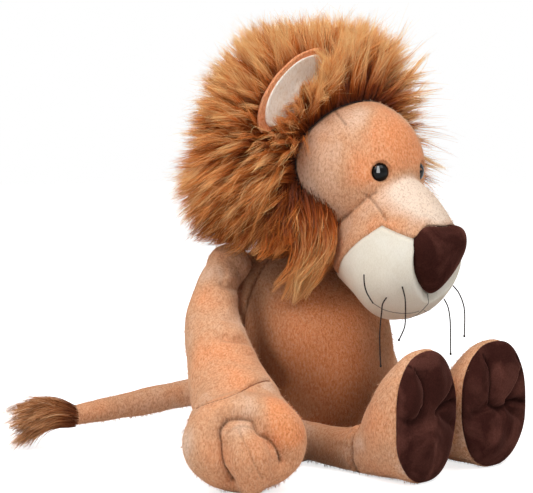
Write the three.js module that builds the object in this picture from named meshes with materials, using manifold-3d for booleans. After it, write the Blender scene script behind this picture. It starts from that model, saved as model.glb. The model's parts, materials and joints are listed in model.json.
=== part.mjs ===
// Plush lion sitting with its legs out, in mm. +Z is up, it faces -Y, and -X is its right side.
// The origin is on the floor under the middle of its seat.
import * as THREE from "three";
import { toCreasedNormals } from "three/addons/utils/BufferGeometryUtils.js";
import Module from "manifold-3d";

const wasm = await Module();
wasm.setup();
const { Manifold, Mesh: SolidMesh } = wasm;

// Cloth and fit
const cloth = 2.2;
const fit = 0.3;
const stuffingGap = 0.5;
// Play between a limb's or neck's ball and its room
const rootGap = 0.8;
const overrun = 40;
const threadRadius = 0.45;
// Slope above which a limb counts as upright
const uprightShare = 0.6;
// Facets on a cover's inside and on its stuffing, against those outside
const insideFacetShare = 0.67;

// Torso
const torsoHeight = 140;
const torsoWidth = 124;
const torsoDepth = 126;
const bellyForward = 11;
const torsoSides = 22;
const torsoRings = 9;
// Height, width, depth and forward shift of the pear, from the seat to the neck
const torsoShares = [
  [0.0, 0.6, 0.6, 0.5],
  [0.03, 0.75, 0.75, 0.6],
  [0.1, 0.88, 0.88, 0.75],
  [0.22, 0.96, 0.97, 0.95],
  [0.38, 1.0, 1.0, 1.0],
  [0.55, 1.0, 1.0, 1.0],
  [0.7, 0.95, 0.95, 0.8],
  [0.82, 0.85, 0.84, 0.5],
  [0.92, 0.7, 0.68, 0.2],
  [1.0, 0.53, 0.53, 0.0],
];

// Pellet bag in the seat
const pelletBagRadius = 40;
const pelletBagHeight = 26;
const pelletBagSides = 12;
const pelletBagShares = [
  [0.0, 0.72],
  [0.15, 0.9],
  [0.45, 1.0],
  [0.75, 0.88],
  [0.95, 0.55],
];

// Neck
const neckRadius = 27;
const neckHeight = 148;
const neckForward = 4;
const neckSides = 20;
const ballSides = 16;

// Head and face balls
const headRadius = 57;
const headForward = 15;
const headHeight = 213;
const faceRadius = 49;
const faceForward = 57;
const faceHeight = 200;
const skinSides = 20;

// Seam between face and mane
const seamHalfWidth = 45.5;
const seamHalfHeight = 43;
const seamHeight = 205;
const seamForward = 71;
const seamBow = 20;
const seamSides = 20;
const seamInnerForward = 10;
const flareBackDegrees = 2;
const earFlareRightDegrees = 42;
const earFlareLeftDegrees = 22;
const earFlarePlaceDegrees = 52;
const earFlareSpreadDegrees = 30;
const flareReach = 150;
const seamShares = [0.12, 0.55];

// Mane: outer shape of the long pile
const maneWidth = 186;
const maneDepth = 173;
const maneTall = 154;
const maneForward = 30;
const maneLowHeight = 150;
const maneSides = 20;
const maneUnderHeight = 150;
const maneUnderRadius = 34;
const maneUnderSlopeDegrees = 35;
const maneUnderTiltDegrees = 10;
// Height, width, depth and forward shift, from the nape to the crown
const maneShares = [
  [0.0, 0.62, 0.7, 0.1],
  [0.07, 0.8, 0.82, 0.3],
  [0.16, 0.93, 0.93, 0.43],
  [0.27, 1.0, 1.0, 0.6],
  [0.41, 0.98, 0.98, 0.8],
  [0.55, 0.95, 0.94, 0.93],
  [0.73, 0.88, 0.85, 1.0],
  [0.86, 0.7, 0.66, 0.83],
  [0.93, 0.51, 0.48, 0.63],
  [0.975, 0.32, 0.3, 0.6],
];

// Muzzle: rings from the back to the front
const muzzleBack = 62;
const muzzleLength = 77;
const muzzleWidth = 82;
const muzzleTall = 101;
const muzzleHeight = 150.5;
const muzzleSides = 20;
const muzzleRings = 9;
const muzzleTaperShare = 0.24;
// Forward place, width, height and rise of the middle
const muzzleShares = [
  [0.0, 0.72, 0.74, 0.06],
  [0.22, 0.9, 0.88, 0.035],
  [0.4, 1.0, 1.0, 0.0],
  [0.52, 0.99, 0.96, -0.02],
  [0.65, 0.93, 0.88, -0.03],
  [0.77, 0.82, 0.74, -0.03],
  [0.88, 0.66, 0.56, -0.025],
  [0.95, 0.48, 0.38, -0.01],
  [1.0, 0.24, 0.18, 0.01],
];
const bridgeHalfWidth = 25.5;
const creamBackDrop = 20.5;
const creamApexRise = 14;
const creamFrontRise = 5.5;
const creamBackForward = 66;
const creamBackHeight = muzzleHeight - creamBackDrop;
const creamApexForward = 110;
const creamApexHeight = muzzleHeight + creamApexRise;
const creamFrontForward = 130;
const creamFrontHeight = muzzleHeight + creamFrontRise;

// Nose pad
const noseWidth = 48;
const noseTall = 50;
const noseForward = 131;
const noseDrop = 7.5;
const noseHeight = muzzleHeight - noseDrop;
const noseBulge = 10.5;
const noseSeatDepth = 9;
const noseLeanDegrees = 17;
const noseSides = 22;
// Half outline from the top middle to the tip: across and up
const noseOutlineShares = [
  [0.0, 0.42],
  [0.26, 0.43],
  [0.42, 0.36],
  [0.5, 0.2],
  [0.45, 0.02],
  [0.31, -0.2],
  [0.15, -0.42],
  [0.0, -0.5],
];
// Depth, from the seat to the front of the bulge, and size of the outline there
const noseDomeShares = [
  [-1.0, 0.9],
  [-0.3, 0.98],
  [0.12, 1.0],
  [0.45, 0.9],
  [0.75, 0.7],
  [0.94, 0.4],
];

// Eyes with lock washers
const eyeRadius = 6.4;
const eyeOut = 19;
const eyeForward = 95.5;
const eyeSocketRadius = 13;
const eyeHeight = 199;
const eyeFlangeThickness = 1.4;
const eyeDomeHeight = 4.6;
const eyeShankRadius = 2;
const eyeShankLength = 11;
const washerRadius = 7;
const washerThickness = 1.6;
const eyeSides = 12;
const eyeDomeShares = [
  [1.0, 0.0],
  [0.93, 0.4],
  [0.72, 0.75],
  [0.38, 0.95],
];

// Ears
const earHalfLength = 38;
const earHeight = 22;
const earRootDepth = 9;
const earOuterThickness = 3;
const earLiningThickness = 2.4;
const earLiningShare = 0.86;
const earCup = 7;
const earOut = 40;
const earForward = 41;
const earSeatHeight = 252;
const earLeanDegrees = 41;
const earFaceDegrees = 14;
const earSides = 16;
const earRingShares = [0.5, 0.9, 1.0];

// Shoulders and arms
const shoulderOut = 51;
const shoulderBack = 15;
const shoulderHeight = 132;
const shoulderRadius = 16;
const armThickness = 47;
const nearArmOut = 60;
const nearArmForward = 72;
const nearArmDrop = 86;
const farArmOut = 58;
const farArmForward = -44;
const farArmDrop = 86;
const armSides = 12;
const armRings = 7;
// Out, forward, drop and thickness from the shoulder to the wrist
const armShares = [
  [0.0, 0.0, 0.0, 0.56],
  [0.31, 0.1, 0.17, 0.63],
  [0.54, 0.25, 0.44, 0.82],
  [0.7, 0.5, 0.68, 0.98],
  [0.87, 0.78, 0.88, 1.07],
  [1.0, 1.0, 1.0, 1.1],
];

// Hands
const handLength = 59;
const handWidth = 78;
const handTall = 61;
const handDrop = 14;
const handSides = 16;
const handRings = 7;
const nearHandTurnDegrees = 38;
const farHandTurnDegrees = 110;
// Along, width, height and drop
const handShares = [
  [0.0, 0.62, 0.74, 0.0],
  [0.22, 0.82, 0.9, 0.55],
  [0.45, 0.97, 1.0, 0.95],
  [0.68, 1.0, 1.0, 1.0],
  [0.86, 0.86, 0.86, 1.02],
  [0.97, 0.58, 0.56, 1.1],
  [1.0, 0.3, 0.28, 1.15],
];
const thumbHalfWidth = 17;
const thumbHalfTall = 25;
const thumbHalfDepth = 16;
const thumbAlongShare = 0.82;
const thumbSideShare = 0.02;
const thumbDropShare = 0.09;
const thumbSides = 16;

// Hips and legs
const hipOut = 42;
const hipForward = 46;
const hipHeight = 16;
const hipRadius = 15.5;
const legLength = 56;
const legThickness = 31;
const legRise = -1.5;
const legSides = 12;
const legRings = 5;
// Along, rise and thickness from the hip to the ankle
const legShares = [
  [0.0, 0.0, 0.84],
  [0.3, 0.7, 0.84],
  [0.65, 1.0, 0.9],
  [1.0, 0.3, 1.0],
];

// Feet
const footDepth = 46;
const footWidth = 67;
const footTall = 86;
const footSides = 16;
const footRings = 7;
const footSquareness = 2.25;
const toeInRightDegrees = 6;
const toeInLeftDegrees = 1;
// Along, width, height and height of the middle, from the ankle to the sole
const footShares = [
  [0.0, 0.463, 0.36, 0.186],
  [0.1, 0.57, 0.48, 0.245],
  [0.25, 0.71, 0.63, 0.32],
  [0.43, 0.85, 0.77, 0.39],
  [0.63, 0.95, 0.89, 0.45],
  [0.82, 1.0, 0.98, 0.492],
  [0.95, 0.98, 1.0, 0.5],
  [1.0, 0.95, 0.975, 0.5],
];
const soleThickness = 3.2;
const soleBulge = 3.4;
const soleDomeShares = [
  [0.0, 0.95, 0.975],
  [0.5, 0.955, 0.98],
  [0.85, 0.9, 0.93],
  [1.0, 0.7, 0.75],
];

// Tail
const tailRootBack = 51;
const tailRootHeight = 36;
const tailRootRadius = 13;
const tailThickness = 20.5;
const tailRight = 118;
const tailBackReach = 62;
const tailDrop = 15;
const tailSides = 10;
const tailRings = 7;
// Right, back, drop and thickness
const tailShares = [
  [0.0, 0.0, 0.0, 0.8],
  [0.08, 0.34, 0.1, 0.94],
  [0.28, 0.6, 0.38, 1.0],
  [0.55, 0.78, 0.66, 0.92],
  [0.8, 0.91, 0.86, 0.78],
  [1.0, 1.0, 1.0, 0.68],
];
const tuftLength = 46;
const tuftThickness = 33;
const tuftSides = 14;
// Along and thickness
const tuftShares = [
  [0.0, 0.42],
  [0.1, 0.62],
  [0.3, 0.9],
  [0.55, 1.0],
  [0.8, 0.82],
  [0.95, 0.45],
];

// Whiskers: route points from the cheek to the knot
const whiskerRoutes = {
  whisker_right_rear: [
    [-31.9, -114.2, 117.4],
    [-35.0, -113.6, 113.4],
    [-35.7, -113.4, 108.2],
    [-37.2, -113.2, 95.8],
    [-37.6, -113.6, 86.0],
    [-37.8, -114.6, 73.0],
  ],
  whisker_right_front: [
    [-28.2, -124.4, 125.0],
    [-28.4, -127.0, 117.8],
    [-28.6, -127.7, 108.7],
    [-29.2, -127.8, 100.3],
    [-30.5, -127.0, 95.7],
    [-32.4, -125.5, 90.6],
  ],
  whisker_left_rear: [
    [20.0, -120.7, 113.4],
    [20.1, -124.2, 108.0],
    [20.7, -125.5, 100.0],
    [20.5, -126.1, 91.9],
    [19.9, -126.9, 76.5],
  ],
  whisker_left_front: [
    [19.9, -128.4, 122.8],
    [20.9, -132.7, 118.0],
    [22.7, -135.3, 110.0],
    [22.9, -136.2, 102.0],
    [22.1, -136.6, 89.3],
  ],
};
const whiskerSides = 8;
const whiskerStepShare = 2.5;
const knotRadius = 1.1;

const degrees = Math.PI / 180;
const creaseAngle = 50 * degrees;

// Materials
const material = (name, colour, roughness) =>
  Object.assign(new THREE.MeshStandardMaterial({ color: colour, roughness }), { name });
const tanPlush = material("tan_plush", 0xcf9263, 0.95);
const creamPlush = material("cream_plush", 0xe8e0d2, 0.95);
const brownVelvet = material("brown_velvet", 0x3f2520, 0.9);
const manePile = material("mane_pile", 0xa85f28, 1);
const stuffing = material("stuffing", 0xf2f2ee, 1);
const pellets = material("pellets", 0xd9d4c8, 0.8);
const blackGloss = material("black_gloss", 0x0b0909, 0.1);
const washerPlastic = material("washer_plastic", 0xdedede, 0.5);
const darkThread = material("dark_thread", 0x2a201c, 0.8);

const vec = (x, y, z) => new THREE.Vector3(x, y, z);
// Fewer sides and rings for a form that is shrunk to lie inside
const sidesFor = (sides, grow) => (grow < 0 ? 2 * Math.round((sides * insideFacetShare) / 2) : sides);
const ringsFor = (rings, grow) => (grow < 0 ? Math.round(rings * insideFacetShare) : rings);
const alongX = vec(1, 0, 0);
const alongZ = vec(0, 0, 1);
const forwards = vec(0, -1, 0);

// Smooth curve through rows of numbers, read at evenly spread places
function spread(rows, count) {
  const last = rows.length - 1;
  const blend = (a, b, c, d, t) =>
    b + 0.5 * t * (c - a + t * (2 * a - 5 * b + 4 * c - d + t * (3 * (b - c) + d - a)));
  return Array.from({ length: count }, (_, i) => {
    const place = (i / (count - 1)) * last;
    const k = Math.min(Math.floor(place), last - 1);
    const before = rows[Math.max(k - 1, 0)];
    const after = rows[Math.min(k + 2, last)];
    return rows[k].map((value, j) => blend(before[j], value, rows[k + 1][j], after[j], place - k));
  });
}

// The same curve for a closed outline, whose last row runs on into its first
function spreadRound(rows, count) {
  const lap = [rows[rows.length - 1], ...rows, rows[0], rows[1]];
  const share = (rows.length + 2) * count;
  const all = spread(lap, share + 1);
  return Array.from({ length: count }, (_, i) => all[count + i * rows.length]);
}

// One ring of points round a centre; squareness 2 is an ellipse, taper narrows its upper half
function ring(centre, across, up, halfWidth, halfHeight, sides, squareness = 2, taper = 0) {
  const bend = (value) => Math.sign(value) * Math.abs(value) ** (2 / squareness);
  return Array.from({ length: sides }, (_, i) => {
    const angle = (i / sides) * 2 * Math.PI;
    const high = bend(Math.cos(angle));
    const wide = bend(Math.sin(angle)) * (1 - taper * high);
    return centre
      .clone()
      .addScaledVector(across, halfWidth * wide)
      .addScaledVector(up, halfHeight * high);
  });
}

const middleOf = (points) =>
  points.reduce((sum, p) => sum.add(p), vec(0, 0, 0)).divideScalar(points.length);

// Closed solid through rings of equally many points, each end drawn to its middle
function ringSolid(rings) {
  const sides = rings[0].length;
  const points = [...rings.flat(), middleOf(rings[0]), middleOf(rings[rings.length - 1])];
  const firstPole = points.length - 2;
  const lastPole = points.length - 1;
  const lastRing = (rings.length - 1) * sides;
  const faces = [];
  for (let i = 0; i < sides; i++) {
    const j = (i + 1) % sides;
    faces.push([firstPole, j, i]);
    faces.push([lastPole, lastRing + i, lastRing + j]);
    for (let k = 0; k < rings.length - 1; k++) {
      const low = k * sides;
      const high = low + sides;
      faces.push([low + i, low + j, high + j]);
      faces.push([low + i, high + j, high + i]);
    }
  }
  const volume = faces.reduce(
    (sum, [a, b, c]) => sum + points[a].dot(vec(0, 0, 0).crossVectors(points[b], points[c])),
    0,
  );
  const turned = volume < 0 ? faces.map(([a, b, c]) => [a, c, b]) : faces;
  return new Manifold(
    new SolidMesh({
      numProp: 3,
      vertProperties: new Float32Array(points.flatMap((p) => p.toArray())),
      triVerts: new Uint32Array(turned.flat()),
    }),
  );
}

const ball = (centre, radius, sides = ballSides) =>
  Manifold.sphere(radius, sides).translate(centre.toArray());

const mirrored = (solid) => solid.mirror([1, 0, 0]);

// Rings across a path of rows x, y, z, radius, with round ends where asked
function limbRings(rows, sides, grow, roundStart, roundEnd) {
  const centres = rows.map(([x, y, z]) => vec(x, y, z));
  const radii = rows.map((row) => row[3] + grow);
  const whole = centres[rows.length - 1].clone().sub(centres[0]).normalize();
  const hint = Math.abs(whole.z) > uprightShare ? forwards : alongZ;
  const frameAt = (i) => {
    const tangent = centres[Math.min(i + 1, rows.length - 1)]
      .clone()
      .sub(centres[Math.max(i - 1, 0)])
      .normalize();
    const across = vec(0, 0, 0).crossVectors(tangent, hint).normalize();
    const up = vec(0, 0, 0).crossVectors(across, tangent).normalize();
    return { tangent, across, up };
  };
  const rings = centres.map((centre, i) => {
    const { across, up } = frameAt(i);
    return ring(centre, across, up, radii[i], radii[i], sides);
  });
  const cap = (i, direction) => {
    const { tangent, across, up } = frameAt(i);
    return [65, 40, 18].map((angle) => {
      const reach = radii[i] * Math.cos(angle * degrees) * direction;
      const size = radii[i] * Math.sin(angle * degrees);
      const centre = centres[i].clone().addScaledVector(tangent, reach);
      return ring(centre, across, up, size, size, sides);
    });
  };
  return [
    ...(roundStart ? cap(0, -1).reverse() : []),
    ...rings,
    ...(roundEnd ? cap(rows.length - 1, 1) : []),
  ];
}

// Torso pear, grown outwards or, below nought, shrunk; an open one runs on past the neck
function torsoForm(grow, open = false) {
  const rows = spread(torsoShares, ringsFor(torsoRings, grow));
  const rings = rows.map(([height, width, depth, forward]) =>
    ring(
      vec(0, -bellyForward * forward, torsoHeight * height - grow * (1 - height)),
      alongX,
      forwards,
      (torsoWidth / 2) * width + grow,
      (torsoDepth / 2) * depth + grow,
      sidesFor(torsoSides, grow),
    ),
  );
  if (open) rings.push(rings[rings.length - 1].map((p) => p.clone().setZ(torsoHeight + overrun)));
  return ringSolid(rings);
}

function pelletBagForm(grow) {
  const rings = pelletBagShares.map(([height, width]) =>
    ring(
      vec(0, -bellyForward * torsoShares[0][3], cloth + 2 * fit + pelletBagHeight * height + grow * height),
      alongX,
      forwards,
      pelletBagRadius * width + grow,
      pelletBagRadius * width + grow,
      pelletBagSides,
    ),
  );
  return rings;
}

const neckCentre = vec(0, -neckForward, neckHeight);
const hipCentre = vec(-hipOut, -hipForward, hipHeight);
const shoulderCentre = vec(-shoulderOut, shoulderBack, shoulderHeight);
const tailCentre = vec(0, tailRootBack, tailRootHeight);

// Leg from the hip to the ankle, before its toe-in; an open one runs on past the ankle
function legForm(grow, open = false) {
  const rows = spread(legShares, legRings).map(([along, rise, thick]) => [
    -hipOut,
    -hipForward - legLength * along,
    hipHeight + legRise * rise,
    (legThickness / 2) * thick,
  ]);
  const rings = limbRings(rows, sidesFor(legSides, grow), grow, true, false);
  if (open) rings.push(rings[rings.length - 1].map((p) => p.clone().setY(p.y - overrun)));
  return ringSolid(rings).add(ball(hipCentre, hipRadius + grow, sidesFor(ballSides, grow)));
}

const toedIn = (solid, toeInDegrees) =>
  solid
    .translate(hipCentre.clone().negate().toArray())
    .rotate([0, 0, toeInDegrees])
    .translate(hipCentre.toArray());

// Dents in the torso for the sewn roots of the limbs
function rootRooms(grow) {
  const shoulder = ball(shoulderCentre, shoulderRadius + grow);
  return Manifold.union([
    toedIn(legForm(grow), toeInRightDegrees),
    mirrored(toedIn(legForm(grow), toeInLeftDegrees)),
    shoulder,
    mirrored(shoulder),
    ball(tailCentre, tailRootRadius + grow),
  ]);
}

function torsoPieces() {
  const outer = torsoForm(0).subtract(rootRooms(rootGap));
  const inner = torsoForm(-cloth, true).subtract(rootRooms(rootGap + cloth));
  const cover = outer.subtract(inner);
  const bagRings = pelletBagForm(0);
  const pocketRings = pelletBagForm(fit);
  pocketRings.unshift(pocketRings[0].map((p) => p.clone().setZ(p.z - 2 * cloth)));
  const filling = torsoForm(-cloth - stuffingGap)
    .subtract(rootRooms(cloth + stuffingGap + rootGap))
    .subtract(ball(neckCentre, neckRadius + rootGap, neckSides))
    .subtract(ringSolid(pocketRings));
  return [
    ["torso_cover", cover, tanPlush],
    ["torso_filling", filling, stuffing],
    ["pellet_bag", ringSolid(bagRings), pellets],
  ];
}

const faceCentre = vec(0, -faceForward, faceHeight);
const eyeCentre = vec(-eyeOut, -eyeForward, eyeHeight);
const eyeFacing = eyeCentre.clone().sub(faceCentre).setZ(0).normalize();

// Head and face balls together, dented where the eyes sit
function skinForm(grow) {
  const sides = sidesFor(skinSides, grow);
  const back = ball(vec(0, -headForward, headHeight), headRadius + grow, sides);
  const front = ball(faceCentre, faceRadius + grow, sides);
  const socketCentre = eyeCentre.clone().addScaledVector(eyeFacing, eyeSocketRadius);
  const socket = ball(socketCentre, eyeSocketRadius - grow);
  return back.add(front).subtract(socket).subtract(mirrored(socket));
}

// Region in front of the seam between face and mane
function faceWindow(grow) {
  const inner = vec(0, -seamInnerForward, seamHeight);
  const angles = Array.from({ length: seamSides }, (_, i) => (i / seamSides) * 2 * Math.PI);
  const seam = angles.map((angle) => {
    const across = Math.sin(angle);
    return vec(
      seamHalfWidth * across,
      -seamForward + seamBow * across ** 2 + 2 * grow,
      seamHeight + seamHalfHeight * Math.cos(angle),
    );
  });
  const outwards = angles.map((angle) => vec(Math.sin(angle), 0, Math.cos(angle)));
  const flared = seam.map((p, i) => {
    const away = Math.abs(Math.atan2(outwards[i].x, outwards[i].z)) / degrees - earFlarePlaceDegrees;
    const bump = Math.exp(-((away / earFlareSpreadDegrees) ** 2));
    const earFlare = outwards[i].x < 0 ? earFlareRightDegrees : earFlareLeftDegrees;
    const flare = (flareBackDegrees + earFlare * bump) * degrees;
    return p
      .clone()
      .addScaledVector(outwards[i], flareReach * Math.cos(flare))
      .addScaledVector(forwards, -flareReach * Math.sin(flare));
  });
  const front = flared.map((p) => p.clone().setY(-seamForward - muzzleLength - overrun));
  const insides = seamShares.map((share) => seam.map((p) => inner.clone().lerp(p, share)));
  return ringSolid([...insides, seam, flared, front]);
}

// Pile's outer shape, cut below to clear the torso and the shoulders
function maneForm() {
  const rings = maneShares.map(([height, width, depth, forward]) =>
    ring(
      vec(0, -maneForward * forward, maneLowHeight + maneTall * height),
      alongX,
      forwards,
      (maneWidth / 2) * width,
      (maneDepth / 2) * depth,
      maneSides,
    ),
  );
  const slope = Math.tan(maneUnderSlopeDegrees * degrees);
  const above = Manifold.cylinder(
    2 * maneTall,
    maneUnderRadius,
    maneUnderRadius + (2 * maneTall) / slope,
    maneSides,
  );
  return ringSolid(rings).intersect(
    above.rotate([-maneUnderTiltDegrees, 0, 0]).translate([0, -neckForward, maneUnderHeight]),
  );
}

function muzzleForm(grow, open = false) {
  const rows = spread(muzzleShares, ringsFor(muzzleRings, grow));
  const rings = rows.map(([along, width, tall, rise]) =>
    ring(
      vec(0, -(muzzleBack - grow + (muzzleLength + 2 * grow) * along), muzzleHeight + muzzleTall * rise),
      alongX,
      alongZ,
      (muzzleWidth / 2) * width + grow,
      (muzzleTall / 2) * tall + grow,
      sidesFor(muzzleSides, grow),
      2,
      muzzleTaperShare,
    ),
  );
  if (open) rings.unshift(rings[0].map((p) => p.clone().setY(p.y + overrun)));
  return ringSolid(rings);
}

// Nose pad: rings of its outline, seated in the front of the muzzle
function noseForm(grow) {
  const right = noseOutlineShares.slice(1, -1).map(([x, z]) => [-x, z]).reverse();
  const outline = spreadRound([...noseOutlineShares, ...right], noseSides);
  const lean = noseLeanDegrees * degrees;
  const facing = vec(0, -Math.cos(lean), -Math.sin(lean));
  const up = vec(0, -Math.sin(lean), Math.cos(lean));
  const centre = vec(0, -noseForward, noseHeight);
  const rings = noseDomeShares.map(([depth, size]) => {
    const reach = depth < 0 ? (noseSeatDepth + grow) * depth : (noseBulge + grow) * depth;
    return outline.map(([x, z]) =>
      centre
        .clone()
        .addScaledVector(facing, reach)
        .addScaledVector(alongX, x * (noseWidth * size + 2 * grow))
        .addScaledVector(up, z * (noseTall * size + 2 * grow)),
    );
  });
  return ringSolid(rings);
}

// Solid of revolution on the eye's axis: rows of radius and reach out of the head
function eyeTurned(rows) {
  const across = vec(0, 0, 0).crossVectors(eyeFacing, alongZ).normalize();
  const rings = rows.map(([radius, reach]) => {
    const centre = eyeCentre.clone().addScaledVector(eyeFacing, reach);
    return ring(centre, across, alongZ, radius, radius, eyeSides);
  });
  return ringSolid(rings);
}

function eyeForm(grow) {
  const dome = eyeDomeShares.map(([width, high]) => [
    (eyeRadius + grow) * width,
    eyeFlangeThickness + (eyeDomeHeight + grow) * high,
  ]);
  return eyeTurned([
    [eyeShankRadius + grow, -eyeShankLength - grow],
    [eyeShankRadius + grow, -grow],
    [eyeRadius + grow, -grow],
    ...dome,
  ]);
}

// Depth at which the washer lies: under the cover, seen from the eye's flange
const washerReach = -cloth - 2 * fit;

function washerForm() {
  const disc = eyeTurned([
    [washerRadius, washerReach - washerThickness],
    [washerRadius, washerReach],
  ]);
  return disc.subtract(
    eyeTurned([
      [eyeShankRadius + fit, -eyeShankLength - overrun],
      [eyeShankRadius + fit, overrun],
    ]),
  );
}

// Room behind the face cover for the washer and shank
function eyePocket() {
  const wide = eyeTurned([
    [washerRadius + fit, washerReach - washerThickness - fit],
    [washerRadius + fit, overrun],
  ]);
  const narrow = eyeTurned([
    [eyeShankRadius + fit, -eyeShankLength - fit],
    [eyeShankRadius + fit, overrun],
  ]);
  return wide.add(narrow);
}

// Ear leaf: D outline on the skin, cupped forwards
function earForm(lengthShare, frontDepth, backDepth, grow) {
  const lean = earLeanDegrees * degrees;
  const turn = earFaceDegrees * degrees;
  const chord = vec(Math.cos(lean), 0, Math.sin(lean));
  const facing = vec(-Math.sin(turn), -Math.cos(turn), 0);
  const chordFlat = chord.clone().addScaledVector(facing, -chord.dot(facing)).normalize();
  const out = vec(0, 0, 0).crossVectors(facing, chordFlat).normalize();
  const outwards = out.z > 0 ? out : out.negate();
  const base = vec(-earOut, -earForward, earSeatHeight);
  const leaf = (share, depth) =>
    Array.from({ length: earSides }, (_, i) => {
      const angle = (i / earSides) * 2 * Math.PI;
      const high = Math.cos(angle);
      const reach = high > 0 ? earHeight * lengthShare + grow : earRootDepth + grow;
      const rim = (share * lengthShare) ** 2 * Math.max(high, 0);
      return base
        .clone()
        .addScaledVector(chordFlat, Math.sin(angle) * share * (earHalfLength * lengthShare + grow))
        .addScaledVector(outwards, high * share * reach)
        .addScaledVector(facing, depth + earCup * rim);
    });
  const backs = earRingShares.map((share) => leaf(share, -backDepth - grow));
  const fronts = earRingShares.map((share) => leaf(share, frontDepth + grow)).reverse();
  return ringSolid([...backs, ...fronts]);
}

function earPieces() {
  const skin = skinForm(-cloth);
  const outer = earForm(1, 0, earOuterThickness, 0).subtract(skin);
  const lining = earForm(earLiningShare, fit + earLiningThickness, -fit, 0).subtract(skin);
  return { outer, lining };
}

const earRoom = () => earForm(1, fit + earLiningThickness, earOuterThickness, fit);

const kept = (solid, { normal, offset }) => solid.trimByPlane(normal.toArray(), offset);

// Half space below a line through two places in the side view
function belowLine(forwardA, heightA, forwardB, heightB, drop) {
  const a = vec(0, -forwardA, heightA);
  const b = vec(0, -forwardB, heightB);
  const along = b.clone().sub(a).normalize();
  const down = vec(0, along.z, -along.y);
  if (down.z > 0) down.negate();
  return { normal: down, offset: a.dot(down) + drop };
}

// Block holding the cream cheeks: below the two lines, and all of the underside between the sides
function cheekRegion(grow) {
  const rear = [creamBackForward, creamBackHeight, creamApexForward, creamApexHeight];
  const front = [creamApexForward, creamApexHeight, creamFrontForward, creamFrontHeight];
  const far = muzzleLength + overrun;
  const block = Manifold.cube([2 * far, 2 * far, 2 * far], true).translate([
    0,
    -muzzleBack - muzzleLength / 2,
    muzzleHeight,
  ]);
  const under = Manifold.cube([2 * (bridgeHalfWidth + grow), 2 * far, far], true).translate([
    0,
    -muzzleBack - muzzleLength / 2,
    muzzleHeight - far / 2 + grow,
  ]);
  return kept(kept(block, belowLine(...rear, -grow)), belowLine(...front, -grow)).add(under);
}

function muzzlePieces() {
  const behind = ball(faceCentre, faceRadius + fit, skinSides).add(
    ball(vec(0, -headForward, headHeight), headRadius + fit, skinSides),
  );
  const shell = muzzleForm(0)
    .subtract(muzzleForm(-cloth, true))
    .subtract(behind)
    .subtract(noseForm(fit));
  const filling = muzzleForm(-cloth - stuffingGap).subtract(behind).subtract(noseForm(fit));
  const cream = shell.intersect(cheekRegion(-fit / 2));
  const tanShell = shell.subtract(cheekRegion(fit / 2));
  const cheek = kept(cream, { normal: vec(-1, 0, 0), offset: fit / 2 });
  const side = kept(tanShell, { normal: vec(-1, 0, 0), offset: bridgeHalfWidth + fit / 2 });
  const bridge = kept(
    kept(tanShell, { normal: vec(1, 0, 0), offset: fit / 2 - bridgeHalfWidth }),
    { normal: vec(-1, 0, 0), offset: fit / 2 - bridgeHalfWidth },
  );
  return { cheek, side, bridge, filling };
}

function headPieces() {
  const shell = skinForm(0).subtract(skinForm(-cloth));
  const eyes = eyeForm(fit);
  const bothEyes = eyes.add(mirrored(eyes));
  const pockets = eyePocket();
  const ears = earRoom();
  const neckRoom = ball(neckCentre, neckRadius + rootGap, neckSides);
  const face = shell.intersect(faceWindow(-fit / 2)).subtract(bothEyes);
  const pelt = maneForm()
    .subtract(skinForm(-cloth))
    .subtract(faceWindow(fit))
    .subtract(muzzleForm(fit))
    .subtract(ears)
    .subtract(mirrored(ears))
    .subtract(neckRoom);
  const filling = skinForm(-cloth - stuffingGap)
    .subtract(neckRoom)
    .subtract(pockets)
    .subtract(mirrored(pockets));
  const { cheek, side, bridge, filling: muzzleFilling } = muzzlePieces();
  const ear = earPieces();
  const eye = eyeForm(0);
  const washer = washerForm();
  return [
    ["mane_pelt", pelt, manePile],
    ["face_cover", face, tanPlush],
    ["head_filling", filling, stuffing],
    ["muzzle_bridge", bridge, tanPlush],
    ["muzzle_side_right", side, tanPlush],
    ["muzzle_side_left", mirrored(side), tanPlush],
    ["cheek_right", cheek, creamPlush],
    ["cheek_left", mirrored(cheek), creamPlush],
    ["muzzle_filling", muzzleFilling, stuffing],
    ["nose", noseForm(0), brownVelvet],
    ["eye_right", eye, blackGloss],
    ["eye_left", mirrored(eye), blackGloss],
    ["eye_washer_right", washer, washerPlastic],
    ["eye_washer_left", mirrored(washer), washerPlastic],
    ["ear_outer_right", ear.outer, tanPlush],
    ["ear_outer_left", mirrored(ear.outer), tanPlush],
    ["ear_lining_right", ear.lining, creamPlush],
    ["ear_lining_left", mirrored(ear.lining), creamPlush],
  ];
}

// Arm on the right side, from its shoulder to the wrist
function armRows(out, forward, drop) {
  return spread(armShares, armRings).map(([o, f, d, thick]) => [
    -shoulderOut - out * o,
    shoulderBack - forward * f,
    shoulderHeight - drop * d,
    (armThickness / 2) * thick,
  ]);
}

function armForm(rows, grow, open) {
  const rings = limbRings(rows, sidesFor(armSides, grow), grow, true, false);
  if (open) {
    const last = rings[rings.length - 1];
    const shift = middleOf(last).sub(middleOf(rings[rings.length - 2])).setLength(overrun);
    rings.push(last.map((p) => p.clone().add(shift)));
  }
  return ringSolid(rings).add(ball(shoulderCentre, shoulderRadius + grow, sidesFor(ballSides, grow)));
}

// Hand from the wrist to the finger ends, turned about the vertical
function handForm(wrist, turn, grow) {
  const heading = vec(-Math.sin(turn), -Math.cos(turn), 0);
  const across = vec(Math.cos(turn), -Math.sin(turn), 0);
  const rows = spread(handShares, ringsFor(handRings, grow));
  const rings = rows.map(([along, width, tall, drop]) => {
    const centre = wrist
      .clone()
      .addScaledVector(heading, handLength * along + grow * (2 * along - 1))
      .addScaledVector(alongZ, -handDrop * drop);
    return ring(
      centre,
      across,
      alongZ,
      (handWidth / 2) * width + grow,
      (handTall / 2) * tall + grow,
      sidesFor(handSides, grow),
    );
  });
  return ringSolid(rings);
}

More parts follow.
